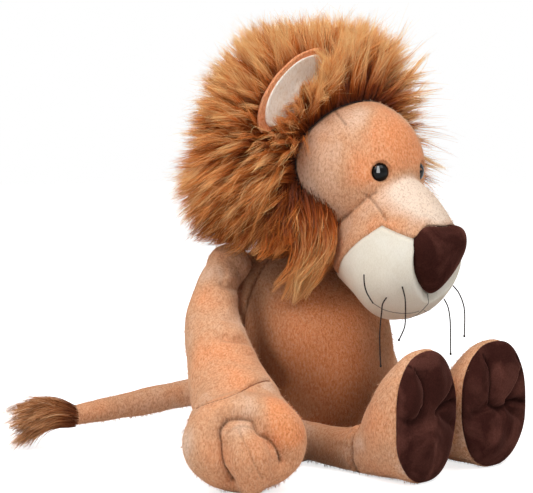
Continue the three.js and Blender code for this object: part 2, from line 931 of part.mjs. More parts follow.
function thumbForm(wrist, turn, grow) {
  const heading = vec(-Math.sin(turn), -Math.cos(turn), 0);
  const across = vec(Math.cos(turn), -Math.sin(turn), 0);
  const centre = wrist
    .clone()
    .addScaledVector(heading, handLength * thumbAlongShare)
    .addScaledVector(across, handWidth * thumbSideShare)
    .addScaledVector(alongZ, -handDrop - handTall * thumbDropShare);
  const size = [thumbHalfWidth + grow, thumbHalfDepth + grow, thumbHalfTall + grow];
  return Manifold.sphere(1, thumbSides)
    .scale(size)
    .rotate([0, 0, -turn / degrees])
    .translate(centre.toArray());
}

function armPieces(out, forward, drop, turnDegrees, suffix, place) {
  const rows = armRows(out, forward, drop);
  const last = rows[rows.length - 1];
  const wrist = vec(last[0], last[1], last[2]);
  const turn = turnDegrees * degrees;
  const hand = handForm(wrist, turn, 0);
  const handInside = handForm(wrist, turn, -cloth);
  const thumb = thumbForm(wrist, turn, 0);
  const thumbRoom = thumbForm(wrist, turn, fit);
  const handRoom = handForm(wrist, turn, fit);
  const armCover = armForm(rows, 0, false).subtract(armForm(rows, -cloth, true)).subtract(handRoom);
  const armFilling = armForm(rows, -cloth - stuffingGap, false).subtract(handRoom);
  const handCover = hand.subtract(handInside).subtract(thumbRoom);
  const handFilling = handForm(wrist, turn, -cloth - stuffingGap).subtract(thumbRoom);
  return [
    [`arm_cover_${suffix}`, place(armCover), tanPlush],
    [`arm_filling_${suffix}`, place(armFilling), stuffing],
    [`hand_cover_${suffix}`, place(handCover), tanPlush],
    [`hand_filling_${suffix}`, place(handFilling), stuffing],
    [`thumb_${suffix}`, place(thumb), tanPlush],
  ];
}

// Right leg and foot, turned in a little at the hip
function legPieces(toeInDegrees, suffix, place) {
  const ankleForward = hipForward + legLength;
  const footRing = (along, width, tall, middle, grow) =>
    ring(
      vec(-hipOut, -ankleForward - footDepth * along, footTall * middle),
      alongX,
      alongZ,
      (footWidth / 2) * width + grow,
      (footTall / 2) * tall + grow,
      sidesFor(footSides, grow),
      footSquareness,
    );
  const footForm = (grow, start, end) => {
    const rows = spread(footShares, ringsFor(footRings, grow));
    const rings = rows.map((row) => footRing(...row, grow));
    rings.unshift(rings[0].map((p) => p.clone().setY(p.y + start)));
    rings.push(rings[rings.length - 1].map((p) => p.clone().setY(p.y - end)));
    return ringSolid(rings);
  };
  const soleRings = soleDomeShares.map(([depth, width, tall]) => {
    const centre = vec(
      -hipOut,
      -ankleForward - footDepth - 2 * fit - soleThickness - soleBulge * depth,
      footTall * footShares[footShares.length - 1][3],
    );
    return ring(
      centre,
      alongX,
      alongZ,
      (footWidth / 2) * width,
      (footTall / 2) * tall,
      footSides,
      footSquareness,
    );
  });
  soleRings.unshift(soleRings[0].map((p) => p.clone().setY(p.y + soleThickness)));
  const beyondAnkle = { normal: vec(0, 1, 0), offset: -ankleForward + fit };
  const legCover = kept(legForm(0).subtract(legForm(-cloth, true)), beyondAnkle);
  const legFilling = kept(legForm(-cloth - stuffingGap), beyondAnkle);
  const footCover = footForm(0, fit / 2, fit).subtract(footForm(-cloth, overrun, overrun));
  const footFilling = footForm(-cloth - stuffingGap, fit / 2, fit / 2);
  const turned = (solid) => place(toedIn(solid, toeInDegrees));
  return [
    [`leg_cover_${suffix}`, turned(legCover), tanPlush],
    [`leg_filling_${suffix}`, turned(legFilling), stuffing],
    [`foot_cover_${suffix}`, turned(footCover), tanPlush],
    [`foot_filling_${suffix}`, turned(footFilling), stuffing],
    [`foot_sole_${suffix}`, turned(ringSolid(soleRings)), brownVelvet],
  ];
}

function tailPieces() {
  const rows = spread(tailShares, tailRings).map(([right, back, drop, thick]) => [
    -tailRight * right,
    tailRootBack + tailBackReach * back,
    tailRootHeight - tailDrop * drop,
    (tailThickness / 2) * thick,
  ]);
  const form = (grow, open) => {
    const rings = limbRings(rows, sidesFor(tailSides, grow), grow, true, false);
    const last = rings[rings.length - 1];
    const shift = middleOf(last).sub(middleOf(rings[rings.length - 2])).setLength(overrun);
    if (open) rings.push(last.map((p) => p.clone().add(shift)));
    return ringSolid(rings).add(ball(tailCentre, tailRootRadius + grow, sidesFor(ballSides, grow)));
  };
  const end = rows[rows.length - 1];
  const before = rows[rows.length - 2];
  const heading = vec(end[0] - before[0], end[1] - before[1], 0).normalize();
  const start = vec(end[0], end[1], end[2]).addScaledVector(heading, 2 * fit);
  const across = vec(0, 0, 0).crossVectors(heading, alongZ);
  const tuftRings = tuftShares.map(([along, thick]) =>
    ring(
      start.clone().addScaledVector(heading, tuftLength * along),
      across,
      alongZ,
      (tuftThickness / 2) * thick,
      (tuftThickness / 2) * thick,
      tuftSides,
    ),
  );
  const tuft = ringSolid(tuftRings).subtract(form(fit, false));
  return [
    ["tail_cover", form(0, false).subtract(form(-cloth, true)), tanPlush],
    ["tail_filling", form(-cloth - stuffingGap, false), stuffing],
    ["tail_tuft", tuft, manePile],
  ];
}

// Whisker thread along its route, with a knot at its free end
function whiskerForm(route) {
  const curve = new THREE.CatmullRomCurve3(route.map((p) => vec(...p)));
  const steps = Math.round(curve.getLength() / (whiskerStepShare * 2 * threadRadius));
  const rows = curve.getSpacedPoints(steps).map((p) => [p.x, p.y, p.z, threadRadius]);
  const thread = ringSolid(limbRings(rows, whiskerSides, 0, false, false));
  return thread.add(ball(vec(...route[route.length - 1]), knotRadius, whiskerSides));
}

const whiskerPieces = () =>
  Object.entries(whiskerRoutes).map(([name, route]) => [name, whiskerForm(route), darkThread]);

function meshOf(name, solid, itsMaterial) {
  const { vertProperties, triVerts } = solid.getMesh();
  const geometry = new THREE.BufferGeometry();
  geometry.setAttribute("position", new THREE.BufferAttribute(vertProperties, 3));
  geometry.setIndex(new THREE.BufferAttribute(triVerts, 1));
  const mesh = new THREE.Mesh(toCreasedNormals(geometry, creaseAngle), itsMaterial);
  mesh.name = name;
  return mesh;
}

const lion = new THREE.Group();
lion.name = "plush_lion";
const asMade = (solid) => solid;
const pieces = [
  ...torsoPieces(),
  ["neck_filling", ball(neckCentre, neckRadius, neckSides), stuffing],
  ...headPieces(),
  ...armPieces(nearArmOut, nearArmForward, nearArmDrop, nearHandTurnDegrees, "right", asMade),
  ...armPieces(farArmOut, farArmForward, farArmDrop, farHandTurnDegrees, "left", mirrored),
  ...legPieces(toeInRightDegrees, "right", asMade),
  ...legPieces(toeInLeftDegrees, "left", mirrored),
  ...tailPieces(),
  ...whiskerPieces(),
];
for (const [name, solid, look] of pieces) lion.add(meshOf(name, solid, look));

export default lion;
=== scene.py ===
# Plush lion: its dressed pieces, looks, lights and camera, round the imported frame.
# Shapes are worked out in millimetres and written to meshes in metres.
import json
import math

import bmesh
import bpy
import numpy as np
from mathutils import Matrix, Vector
from mathutils.bvhtree import BVHTree
from mathutils.kdtree import KDTree

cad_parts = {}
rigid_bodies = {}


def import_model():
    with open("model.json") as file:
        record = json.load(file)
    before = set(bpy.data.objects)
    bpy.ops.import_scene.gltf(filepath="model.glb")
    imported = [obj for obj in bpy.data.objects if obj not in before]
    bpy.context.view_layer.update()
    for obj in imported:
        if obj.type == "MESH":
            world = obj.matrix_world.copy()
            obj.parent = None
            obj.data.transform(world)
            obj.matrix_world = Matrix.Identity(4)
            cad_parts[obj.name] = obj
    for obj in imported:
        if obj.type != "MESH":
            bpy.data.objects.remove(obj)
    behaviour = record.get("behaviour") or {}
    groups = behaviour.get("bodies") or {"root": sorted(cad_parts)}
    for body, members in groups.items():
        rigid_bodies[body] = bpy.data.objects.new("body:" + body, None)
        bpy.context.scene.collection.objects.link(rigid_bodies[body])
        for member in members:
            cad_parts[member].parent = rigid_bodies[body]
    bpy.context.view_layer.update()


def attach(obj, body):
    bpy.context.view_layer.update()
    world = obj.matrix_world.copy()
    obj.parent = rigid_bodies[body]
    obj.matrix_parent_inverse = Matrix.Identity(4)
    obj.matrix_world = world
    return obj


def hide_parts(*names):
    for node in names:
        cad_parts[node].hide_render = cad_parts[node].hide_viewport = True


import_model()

MM = 0.001
FLOOR_GAP = 0.05
WIDE_GROOVE = 3.0
UP = np.array([0.0, 0.0, 1.0])
ACROSS = np.array([1.0, 0.0, 0.0])
FORWARD = np.array([0.0, -1.0, 0.0])
MIRROR = np.array([-1.0, 1.0, 1.0])
SIDES = (("right", 1.0), ("left", -1.0))


# Camera

PHOTO_WIDTH = 533
PHOTO_HEIGHT = 493
FOCAL = 1530.6
AZIMUTH = math.radians(-45.0)
ELEVATION = math.radians(3.8)
DISTANCE = 1102.0
TARGET = np.array([-14.3, 14.3, 144.0])
SENSOR_WIDTH = 36.0


def way_to(azimuth, elevation):
    """The unit vector towards a place that is given by two angles in radians."""
    flat = math.cos(elevation)
    return np.array([math.sin(azimuth) * flat, -math.cos(azimuth) * flat, math.sin(elevation)])


view_back = way_to(AZIMUTH, ELEVATION)
view_right = np.array([math.cos(AZIMUTH), math.sin(AZIMUTH), 0.0])
view_up = np.cross(view_back, view_right)
view_from = TARGET + DISTANCE * view_back

camera_data = bpy.data.cameras.new("camera")
camera_data.sensor_fit = "HORIZONTAL"
camera_data.sensor_width = SENSOR_WIDTH
camera_data.lens = FOCAL * SENSOR_WIDTH / PHOTO_WIDTH
camera_data.clip_end = 50.0
camera = bpy.data.objects.new("camera", camera_data)
bpy.context.scene.collection.objects.link(camera)
turn = Matrix([list(view_right), list(view_up), list(view_back)]).transposed()
camera.matrix_world = Matrix.Translation(Vector(view_from * MM)) @ turn.to_4x4()
bpy.context.scene.camera = camera


# Number tools


def unit(v):
    v = np.asarray(v, float)
    return v / (np.linalg.norm(v, axis=-1, keepdims=True) + 1e-12)


def smooth_step(x, low=0.0, high=1.0):
    t = np.clip((np.asarray(x, float) - low) / (high - low), 0, 1)
    return t * t * (3 - 2 * t)


def spread(rows, count):
    """Smooth curve through rows of numbers, read at evenly spread places."""
    rows = np.array(rows, float)
    last = len(rows) - 1
    place = np.linspace(0, last, count)
    k = np.minimum(place.astype(int), last - 1)
    t = (place - k)[:, None]
    a = rows[np.maximum(k - 1, 0)]
    b = rows[k]
    c = rows[k + 1]
    d = rows[np.minimum(k + 2, last)]
    return b + 0.5 * t * (c - a + t * (2 * a - 5 * b + 4 * c - d + t * (3 * (b - c) + d - a)))


def spread_round(rows, count):
    """The same curve for a closed outline."""
    rows = list(rows)
    lap = [rows[-1], *rows, rows[0], rows[1]]
    share = (len(rows) + 2) * count
    everything = spread(lap, share + 1)
    return np.array([everything[count + i * len(rows)] for i in range(count)])


noise_draw = np.random.default_rng(11)
GRADIENTS = unit(noise_draw.normal(size=(256, 3)))
SHUFFLE = noise_draw.permutation(256)


def noise(points, size, seed=0):
    """Smooth noise from about -1 to 1, with features about size across."""
    q = np.asarray(points, float) / size + 31.7 * seed + 1000.0
    cell = np.floor(q).astype(int)
    f = q - cell
    fade = f**3 * (f * (f * 6 - 15) + 10)
    total = np.zeros(len(q))
    for corner in np.ndindex(2, 2, 2):
        c = np.array(corner)
        k = (cell + c) & 255
        h = SHUFFLE[(k[:, 0] + SHUFFLE[(k[:, 1] + SHUFFLE[k[:, 2]]) & 255]) & 255]
        weight = np.prod(np.where(c == 1, fade, 1 - fade), axis=1)
        total += weight * np.einsum("ij,ij->i", GRADIENTS[h], f - c)
    return total * 1.6


def drift(points, size, seed=0):
    """Three noises at once, as a vector at each point."""
    return np.stack([noise(points, size, seed + k) for k in (0, 5, 9)], axis=1)


def length_of(points):
    return float(np.linalg.norm(np.diff(points, axis=0), axis=1).sum())


def even(points, count):
    """The same line at evenly spaced points."""
    points = np.asarray(points, float)
    steps = np.concatenate([[0], np.cumsum(np.linalg.norm(np.diff(points, axis=0), axis=1))])
    at = np.linspace(0, steps[-1], count)
    return np.stack([np.interp(at, steps, points[:, k]) for k in range(3)], axis=1)


# Mesh tools


def new_object(name, data):
    obj = bpy.data.objects.new(name, data)
    bpy.context.scene.collection.objects.link(obj)
    return obj


def mesh_object(name, points, faces):
    mesh = bpy.data.meshes.new(name)
    mesh.from_pydata((np.asarray(points) * MM).tolist(), [], faces)
    mesh.update()
    shade_smooth(mesh)
    return new_object(name, mesh)


def shade_smooth(mesh):
    mesh.polygons.foreach_set("use_smooth", [True] * len(mesh.polygons))
    mesh.update()


def gathered(items, what, width=3, kind=np.float32):
    """One property of many parts of a mesh, a row for each."""
    out = np.empty(len(items) * width, kind)
    items.foreach_get(what, out)
    return out.reshape(-1, width) if width > 1 else out


def places(obj):
    return gathered(obj.data.vertices, "co").astype(float) / MM


def normals(obj):
    return gathered(obj.data.vertices, "normal").astype(float)


def place(obj, points):
    obj.data.vertices.foreach_set("co", (points * MM).astype(np.float32).ravel())
    obj.data.update()


def keep_off_floor(obj):
    p = places(obj)
    p[:, 2] = np.maximum(p[:, 2], FLOOR_GAP)
    place(obj, p)


def values(obj, name):
    attribute = obj.data.attributes.get(name)
    out = np.zeros(len(obj.data.vertices), np.float32)
    if attribute:
        attribute.data.foreach_get("value", out)
    return out.astype(float)


def set_values(obj, name, numbers):
    attribute = obj.data.attributes.get(name) or obj.data.attributes.new(name, "FLOAT", "POINT")
    attribute.data.foreach_set("value", np.asarray(numbers, np.float32))


# Painted shade: darkens a piece's colour towards its crease colour where grooves and folds lie in shade
def paint_shade(obj, amount):
    set_values(obj, "crease", np.clip(np.maximum(values(obj, "crease"), amount), 0, 1))


def fades(p, centres, size):
    """How near points are to each of some places, from one down to nought."""
    return [np.exp(-(((p - centre) ** 2).sum(1)) / size**2) for centre in np.atleast_2d(centres)]


def nearness(p, centres, size):
    return np.max([np.zeros(len(p)), *fades(p, centres, size)], axis=0)


def tint(obj, centres, size, amount):
    """Shifts the nap's colour round some places: below nought to orange, above to pale."""
    total = values(obj, "tint")
    for fade in fades(places(obj), centres, size):
        total = total + amount * fade
    set_values(obj, "tint", np.clip(total, -1, 1))


def paint_shade_round(obj, centres, size, amount):
    """Painted shade: darkens the nap's colour round some places that lie in shadow."""
    dark = amount * nearness(places(obj), centres, size)
    set_values(obj, "crease", np.clip(values(obj, "crease") + dark, 0, 1))


def swell(obj, centres, size, amount, hold=1.0):
    """Stuffing that pushes the cloth out round some places."""
    p = places(obj)
    total = nearness(p, centres, size)
    place(obj, p + normals(obj) * (amount * total * hold)[:, None])


def ring(centre, across, up, half_width, half_height, sides, squareness=2.0, taper=0.0):
    angle = np.arange(sides) / sides * 2 * math.pi

    def bend(v):
        return np.sign(v) * np.abs(v) ** (2 / squareness)

    high = bend(np.cos(angle))
    wide = bend(np.sin(angle)) * (1 - taper * high)
    return (
        np.asarray(centre, float) + np.outer(wide * half_width, across) + np.outer(high * half_height, up)
    )


def loft(rings):
    """Points and faces of a closed form through rings of equally many points."""
    rings = np.array(rings, float)
    count, sides = rings.shape[:2]
    points = np.vstack([rings.reshape(-1, 3), rings[0].mean(0), rings[-1].mean(0)])
    i = np.arange(sides)
    j = (i + 1) % sides
    faces = []
    for k in range(count - 1):
        low = k * sides
        high = low + sides
        faces += np.stack([low + i, low + j, high + j, high + i], 1).tolist()
    faces += np.stack([np.full(sides, count * sides), j, i], 1).tolist()
    last = (count - 1) * sides
    faces += np.stack([np.full(sides, count * sides + 1), last + i, last + j], 1).tolist()
    halves = [f[:3] for f in faces] + [[f[0], f[2], f[3]] for f in faces if len(f) == 4]
    a, b, c = points[np.array(halves).T]
    if np.einsum("ij,ij->", a, np.cross(b, c)) < 0:
        faces = [f[::-1] for f in faces]
    return points, faces


def limb(rows, sides, round_start=True, round_end=False):
    """Rings across a path of rows x, y, z, radius."""
    rows = np.array(rows, float)
    centres = rows[:, :3]
    radii = rows[:, 3]
    whole = unit(centres[-1] - centres[0])
    hint = FORWARD if abs(whole[2]) > 0.6 else UP
    tangents = unit(np.gradient(centres, axis=0))
    across = unit(np.cross(tangents, hint))
    up = unit(np.cross(across, tangents))
    rings = [ring(c, a, u, r, r, sides) for c, a, u, r in zip(centres, across, up, radii)]

    def cap(i, direction):
        out = []
        for angle in np.radians(np.linspace(80, 10, 8)):
            centre = centres[i] + tangents[i] * radii[i] * math.cos(angle) * direction
            size = radii[i] * math.sin(angle)
            out.append(ring(centre, across[i], up[i], size, size, sides))
        return out

    if round_start:
        rings = cap(0, -1)[::-1] + rings
    if round_end:
        rings = rings + cap(len(centres) - 1, 1)
    return rings


def ball(centre, size, sides=48):
    size = np.broadcast_to(np.asarray(size, float), 3)
    rings = []
    for angle in np.linspace(4, 176, sides // 2):
        a = math.radians(angle)
        middle = np.asarray(centre) + UP * size[2] * math.cos(a)
        rings.append(ring(middle, ACROSS, FORWARD, size[0] * math.sin(a), size[1] * math.sin(a), sides))
    return loft(rings)


def sided(side):
    """What to multiply places by, for the right side, 1, or its mirror image, -1."""
    return np.array([side, 1.0, 1.0])


def for_side(side, form):
    """A form's points and faces, or those of its mirror image."""
    points, faces = form
    return form if side > 0 else (points * MIRROR, [f[::-1] for f in faces])


def mirror_piece(obj):
    place(obj, places(obj) * MIRROR)
    obj.data.flip_normals()
    obj.data.update()


def turned(points, degrees, about):
    a = math.radians(degrees)
    spin = np.array([[math.cos(a), -math.sin(a), 0], [math.sin(a), math.cos(a), 0], [0, 0, 1]])
    return (np.asarray(points) - about) @ spin.T + about


def joined(forms):
    points = []
    faces = []
    start = 0
    for form_points, form_faces in forms:
        points.append(form_points)
        faces += [[start + v for v in f] for f in form_faces]
        start += len(form_points)
    return np.vstack(points), faces


def smoothed(obj, rounds, voxel=None):
    """Softens a skin, after a remesh where a voxel's size is given."""
    if voxel is not None:
        remesh = obj.modifiers.new("remesh", "REMESH")
        remesh.mode = "VOXEL"
        remesh.voxel_size = voxel * MM
    soften = obj.modifiers.new("soften", "SMOOTH")
    soften.factor = 0.5
    soften.iterations = rounds
    graph = bpy.context.evaluated_depsgraph_get()
    mesh = bpy.data.meshes.new_from_object(obj.evaluated_get(graph))
    obj.modifiers.clear()
    obj.data = mesh
    shade_smooth(mesh)


def fused(name, forms, voxel, rounds):
    """One closed skin round several overlapping forms, its joins softened."""
    obj = mesh_object(name, *joined(forms))
    smoothed(obj, rounds, voxel)
    obj.data.name = name
    return obj


def tree_of(obj):
    p = places(obj)
    return BVHTree.FromPolygons(p.tolist(), [list(f.vertices) for f in obj.data.polygons])


def point_tree(points):
    tree = KDTree(len(points))
    for i, q in enumerate(points):
        tree.insert(Vector(q), i)
    tree.balance()
    return tree


def hits(tree, starts, ways):
    """Where straight lines from some places first meet a piece."""
    starts, ways = np.broadcast_arrays(np.atleast_2d(starts), ways)
    found = [tree.ray_cast(Vector(a), Vector(d))[0] for a, d in zip(starts, ways)]
    return np.array([list(hit) for hit in found if hit is not None]).reshape(-1, 3)


def trace(tree, pixels, step=2.0):
    """A line on a piece, through places given in the photograph's frame."""
    reach = sum(math.dist(a, b) for a, b in zip(pixels, pixels[1:]))
    line = spread(pixels, max(3, int(reach * step))) if len(pixels) > 1 else np.array(pixels, float)
    across = view_right * (line[:, :1] - PHOTO_WIDTH / 2) / FOCAL
    down = view_up * (line[:, 1:] - PHOTO_HEIGHT / 2) / FOCAL
    return hits(tree, view_from, unit(across - down - view_back))


def brush(change, obj, tree, spots, step=2.0):
    """Tints or shades a piece round several spots of the photograph."""
    for pixels, size, amount in spots:
        change(obj, trace(tree, pixels, step), size, amount)


def carve(obj, route, width, depth, puff=0.3, dark=1.0, taper=False):
    """Draws a groove along a route, with the cloth puffed up on both sides and painted shade along its
    line.
    """
    carve_all(obj, [(route, width, depth, dark)], puff, taper)


def carve_all(obj, grooves, puff=0.3, taper=False, hold=None):
    """Draws several grooves at once, each from the cloth as it was, each with painted shade along its
    line.
    """
    p = places(obj)
    n = normals(obj)
    sunk = {}
    raised = np.zeros(len(p))
    amount = np.zeros(len(p))
    for route, width, depth, dark in grooves:
        if len(route) == 0:
            continue
        near = np.where(
            np.all(p > route.min(0) - 5 * width, axis=1) & np.all(p < route.max(0) + 5 * width, axis=1)
        )[0]
        if len(near) == 0:
            continue
        tree = point_tree(route)
        found = [tree.find(Vector(q)) for q in p[near]]
        away = np.array([f[2] for f in found])
        fade = np.ones(len(near))
        if taper:
            at = np.array([f[1] for f in found]) / max(1, len(route) - 1)
            fade = smooth_step(at, 0, 0.25) * (1 - 0.85 * smooth_step(at, 0.7, 1))
        level = sunk.setdefault(width > WIDE_GROOVE, np.zeros(len(p)))
        level[near] = np.maximum(level[near], depth * np.exp(-((away / width) ** 2)) * fade)
        side = np.exp(-(((away - 2.3 * width) / (1.3 * width)) ** 2)) * fade
        raised[near] = np.maximum(raised[near], puff * depth * side)
        # Painted shade along the groove's middle
        line = dark * np.exp(-((away / (0.8 * width)) ** 2)) * fade
        amount[near] = np.maximum(amount[near], line)
    shift = raised - sum(sunk.values())
    if hold is not None:
        shift = shift * hold
    place(obj, p + n * shift[:, None])
    paint_shade(obj, amount)


def carve_both(obj, route, *sizes):
    """The same groove on both sides."""
    carve(obj, route, *sizes)
    carve(obj, route * MIRROR, *sizes)


def lumps(obj, size, amount, seed=1, keep_floor=True):
    """Gentle unevenness of the stuffing."""
    p = places(obj)
    place(obj, p + normals(obj) * (noise(p, size, seed) * amount)[:, None])
    if keep_floor:
        keep_off_floor(obj)


def crossing(obj, field):
    """Points of the line on a piece where a field passes through nought."""
    edges = gathered(obj.data.edges, "vertices", 2, np.int32)
    a = field[edges[:, 0]]
    b = field[edges[:, 1]]
    cut = (a < 0) != (b < 0)
    t = (a[cut] / (a[cut] - b[cut]))[:, None]
    p = places(obj)
    return p[edges[cut, 0]] * (1 - t) + p[edges[cut, 1]] * t


def split(obj, field, name):
    """Cuts a piece along a field's zero line; the side below nought becomes a new piece."""
    work = bmesh.new()
    work.from_mesh(obj.data)
    layer = work.verts.layers.float.new("cut_field")
    for v, value in zip(work.verts, field):
        v[layer] = value
    crossed = [e for e in work.edges if (e.verts[0][layer] < 0) != (e.verts[1][layer] < 0)]
    fresh = []
    for edge in crossed:
        a, b = edge.verts
        share = a[layer] / (a[layer] - b[layer])
        _, v = bmesh.utils.edge_split(edge, a, min(max(share, 0.001), 0.999))
        v[layer] = 0.0
        fresh.append(v)
    bmesh.ops.connect_verts(work, verts=fresh)
    other = work.copy()
    for mesh_work, keep_low in ((work, False), (other, True)):
        field_layer = mesh_work.verts.layers.float["cut_field"]
        gone = []
        for face in mesh_work.faces:
            low = sum(v[field_layer] for v in face.verts) < 0
            if low != keep_low:
                gone.append(face)
        bmesh.ops.delete(mesh_work, geom=gone, context="FACES")
        mesh_work.verts.layers.float.remove(field_layer)
    low_mesh = bpy.data.meshes.new(name)
    other.to_mesh(low_mesh)
    work.to_mesh(obj.data)
    other.free()
    work.free()
    shade_smooth(obj.data)
    shade_smooth(low_mesh)
    return new_object(name, low_mesh)


def tube(points, radius, sides=8, round_ends=True):
    """Points and faces of a thread along a line."""
    points = np.asarray(points, float)
    rows = np.hstack([points, np.full((len(points), 1), radius)])
    return loft(limb(rows, sides, round_ends, round_ends))


def stitches(route, spacing, long, radius):
    """Short thread stitches along a route."""
    total = length_of(route)
    count = max(2, int(total / spacing))
    line = even(route, count * 8 + 1)
    per = max(2, int(round(8 * long / spacing)) + 1)
    forms = []
    for k in range(count):
        part = line[k * 8 : k * 8 + per]
        if len(part) >= 2:
            forms.append(tube(part, radius, 6))
    return joined(forms)


def piece(obj, body, look, replaced=()):
    """Gives a piece its look, what it stands for and the body that it rides on."""
    keep_off_floor(obj)
    obj.data.materials.clear()
    obj.data.materials.append(look)
    if replaced:
        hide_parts(*replaced)
    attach(obj, body)
    return obj


# Materials


def rgb(red, green, blue):
    """A colour as it is seen, turned to the linear one that shaders take."""

    def linear(v):
        return v / 12.92 if v <= 0.04045 else ((v + 0.055) / 1.055) ** 2.4

    return (linear(red), linear(green), linear(blue), 1.0)


def put(tree, socket, value):
    """Links a socket where the value is one itself, and sets it otherwise."""
    if isinstance(value, bpy.types.NodeSocket):
        tree.links.new(value, socket)
    else:
        socket.default_value = value


def node(tree, kind, inputs=None, **settings):
    made = tree.nodes.new(kind)
    for key, value in settings.items():
        setattr(made, key, value)
    for key, value in (inputs or {}).items():
        put(tree, made.inputs[key], value)
    return made


def mixed(tree, factor, a, b, blend="MIX"):
    """Two colours mixed by a factor."""
    inputs = {0: factor, 6: a, 7: b}
    return node(tree, "ShaderNodeMix", inputs, data_type="RGBA", blend_type=blend).outputs[2]


def sums(tree, kind, a, b, clamp=False):
    return node(tree, "ShaderNodeMath", {0: a, 1: b}, operation=kind, use_clamp=clamp).outputs[0]


def ranged(tree, value, low, high, to_low=0.0, to_high=1.0):
    inputs = {"Value": value, "From Min": low, "From Max": high, "To Min": to_low, "To Max": to_high}
    return node(tree, "ShaderNodeMapRange", inputs).outputs[0]


def cloudy(tree, where, scale, detail=2.0, roughness=0.5, distortion=0.0):
    inputs = {
        "Vector": where, "Scale": scale, "Detail": detail, "Roughness": roughness,
        "Distortion": distortion
    }
    return node(tree, "ShaderNodeTexNoise", inputs).outputs["Fac"]


def held(tree, name):
    """A number that a mesh holds at each of its points."""
    return node(tree, "ShaderNodeAttribute", attribute_name=name).outputs["Fac"]


def object_places(tree):
    return node(tree, "ShaderNodeTexCoord").outputs["Object"]


def bumped(tree, height, strength, distance):
    inputs = {"Strength": strength, "Distance": distance, "Height": height}
    return node(tree, "ShaderNodeBump", inputs).outputs["Normal"]


def new_material(name):
    material = bpy.data.materials.new(name)
    material.use_nodes = True
    return material, material.node_tree


def finished(material, inputs):
    """Sets or links the inputs of a material's shader."""
    tree = material.node_tree
    for key, value in inputs.items():
        put(tree, tree.nodes["Principled BSDF"].inputs[key], value)
    return material


def nap_colour(tree, toned, base, orange, pale):
    """Plush that is pale where its tone is above nought and orange where it is below."""
    body = mixed(tree, ranged(tree, toned, 0.0, 1.0), base, pale)
    return mixed(tree, ranged(tree, toned, 0.0, -1.0), body, orange)


# Painted shade: the colour goes towards the crease colour as far as the piece's crease darkness reaches
def creased(tree, body, crease, most=0.92):
    return mixed(tree, ranged(tree, held(tree, "crease"), 0.0, 1.0, 0.0, most), body, crease)


def plush(name, base, gap, nap_tip, orange, pale, crease, grain=1.0, bump=0.55):
    """Short-pile plush: a pebbly nap with pale tips, brushed patches, and painted shade in creases and
    shadowed places.
    """
    material, tree = new_material(name)
    where = object_places(tree)
    laid = node(tree, "ShaderNodeVectorMath", {0: where, 1: (1.0, 1.0, 0.5)}, operation="MULTIPLY")
    curls = cloudy(tree, laid.outputs[0], 860.0 * grain, 2.0, 0.6, 0.5)
    fine = cloudy(tree, where, 1900.0 * grain)
    brushed = cloudy(tree, where, 30.0, 4.0, 0.55, 0.4)
    wide = cloudy(tree, where, 11.0)
    patch = sums(tree, "ADD", ranged(tree, brushed, 0.4, 0.64, -0.22, 0.2), held(tree, "tint"))
    patch = sums(tree, "ADD", patch, ranged(tree, wide, 0.4, 0.6, -0.14, 0.14))
    body = nap_colour(tree, patch, base, orange, pale)
    nap = sums(tree, "ADD", sums(tree, "MULTIPLY", curls, 0.75), sums(tree, "MULTIPLY", fine, 0.25))
    body = mixed(tree, ranged(tree, nap, 0.52, 0.34, 0.0, 0.62), body, gap, "MULTIPLY")
    body = mixed(tree, ranged(tree, nap, 0.5, 0.68, 0.0, 0.42), body, nap_tip)
    return finished(
        material,
        {
            "Base Color": creased(tree, body, crease), "Normal": bumped(tree, nap, bump, 0.0011),
            "Roughness": 0.92, "Specular IOR Level": 0.0, "Sheen Weight": 0.4, "Sheen Roughness": 0.35,
            "Sheen Tint": rgb(1.0, 0.9, 0.8)
        }
    )


def pile(name, root, dark, middle, tip, painted_glint):
    """Long pile: darker near the skin as painted shade deep in the pile, paler to the tip, each lock a
    little different, the palest locks with a painted highlight.
    """
    material, tree = new_material(name)
    along = held(tree, "along")
    tone = held(tree, "tone")
    colour = mixed(tree, ranged(tree, along, 0.02, 0.3), root, dark)
    colour = mixed(tree, ranged(tree, along, 0.22, 0.68), colour, middle)
    reach = sums(tree, "MULTIPLY", ranged(tree, along, 0.5, 1.0), ranged(tree, tone, 0.15, 0.9))
    colour = mixed(tree, reach, colour, tip)
    colour = mixed(tree, ranged(tree, tone, 0.48, 0.1, 0.0, 0.6), colour, dark)
    colour = mixed(tree, ranged(tree, tone, 0.34, 0.0, 0.0, 0.7), colour, root)
    # Painted highlight: the palest locks shine along their middles
    painted_glint_share = sums(tree, "MULTIPLY", ranged(tree, tone, 0.72, 1.0), ranged(tree, along, 0.25, 0.8))
    return finished(
        material,
        {
            "Base Color": mixed(tree, painted_glint_share, colour, painted_glint), "Roughness": 0.5,
            "Specular IOR Level": 0.03, "Sheen Weight": 0.12, "Sheen Tint": rgb(1.0, 0.8, 0.55)
        }
    )


def short_hair(name, base, orange, pale, crease, shade, tip):
    """Short hairs, coloured as the plush that they stand on."""
    material, tree = new_material(name)
    tone = held(tree, "tone")
    body = nap_colour(tree, held(tree, "tint"), base, orange, pale)
    body = mixed(tree, ranged(tree, tone, 0.5, 0.0, 0.0, 0.55), body, shade, "MULTIPLY")
    body = mixed(tree, ranged(tree, tone, 0.5, 1.0, 0.0, 0.6), body, tip)
    return finished(
        material,
        {
            "Base Color": creased(tree, body, crease), "Roughness": 0.85, "Specular IOR Level": 0.0,
            "Sheen Weight": 0.3, "Sheen Tint": rgb(1.0, 0.92, 0.84)
        }
    )


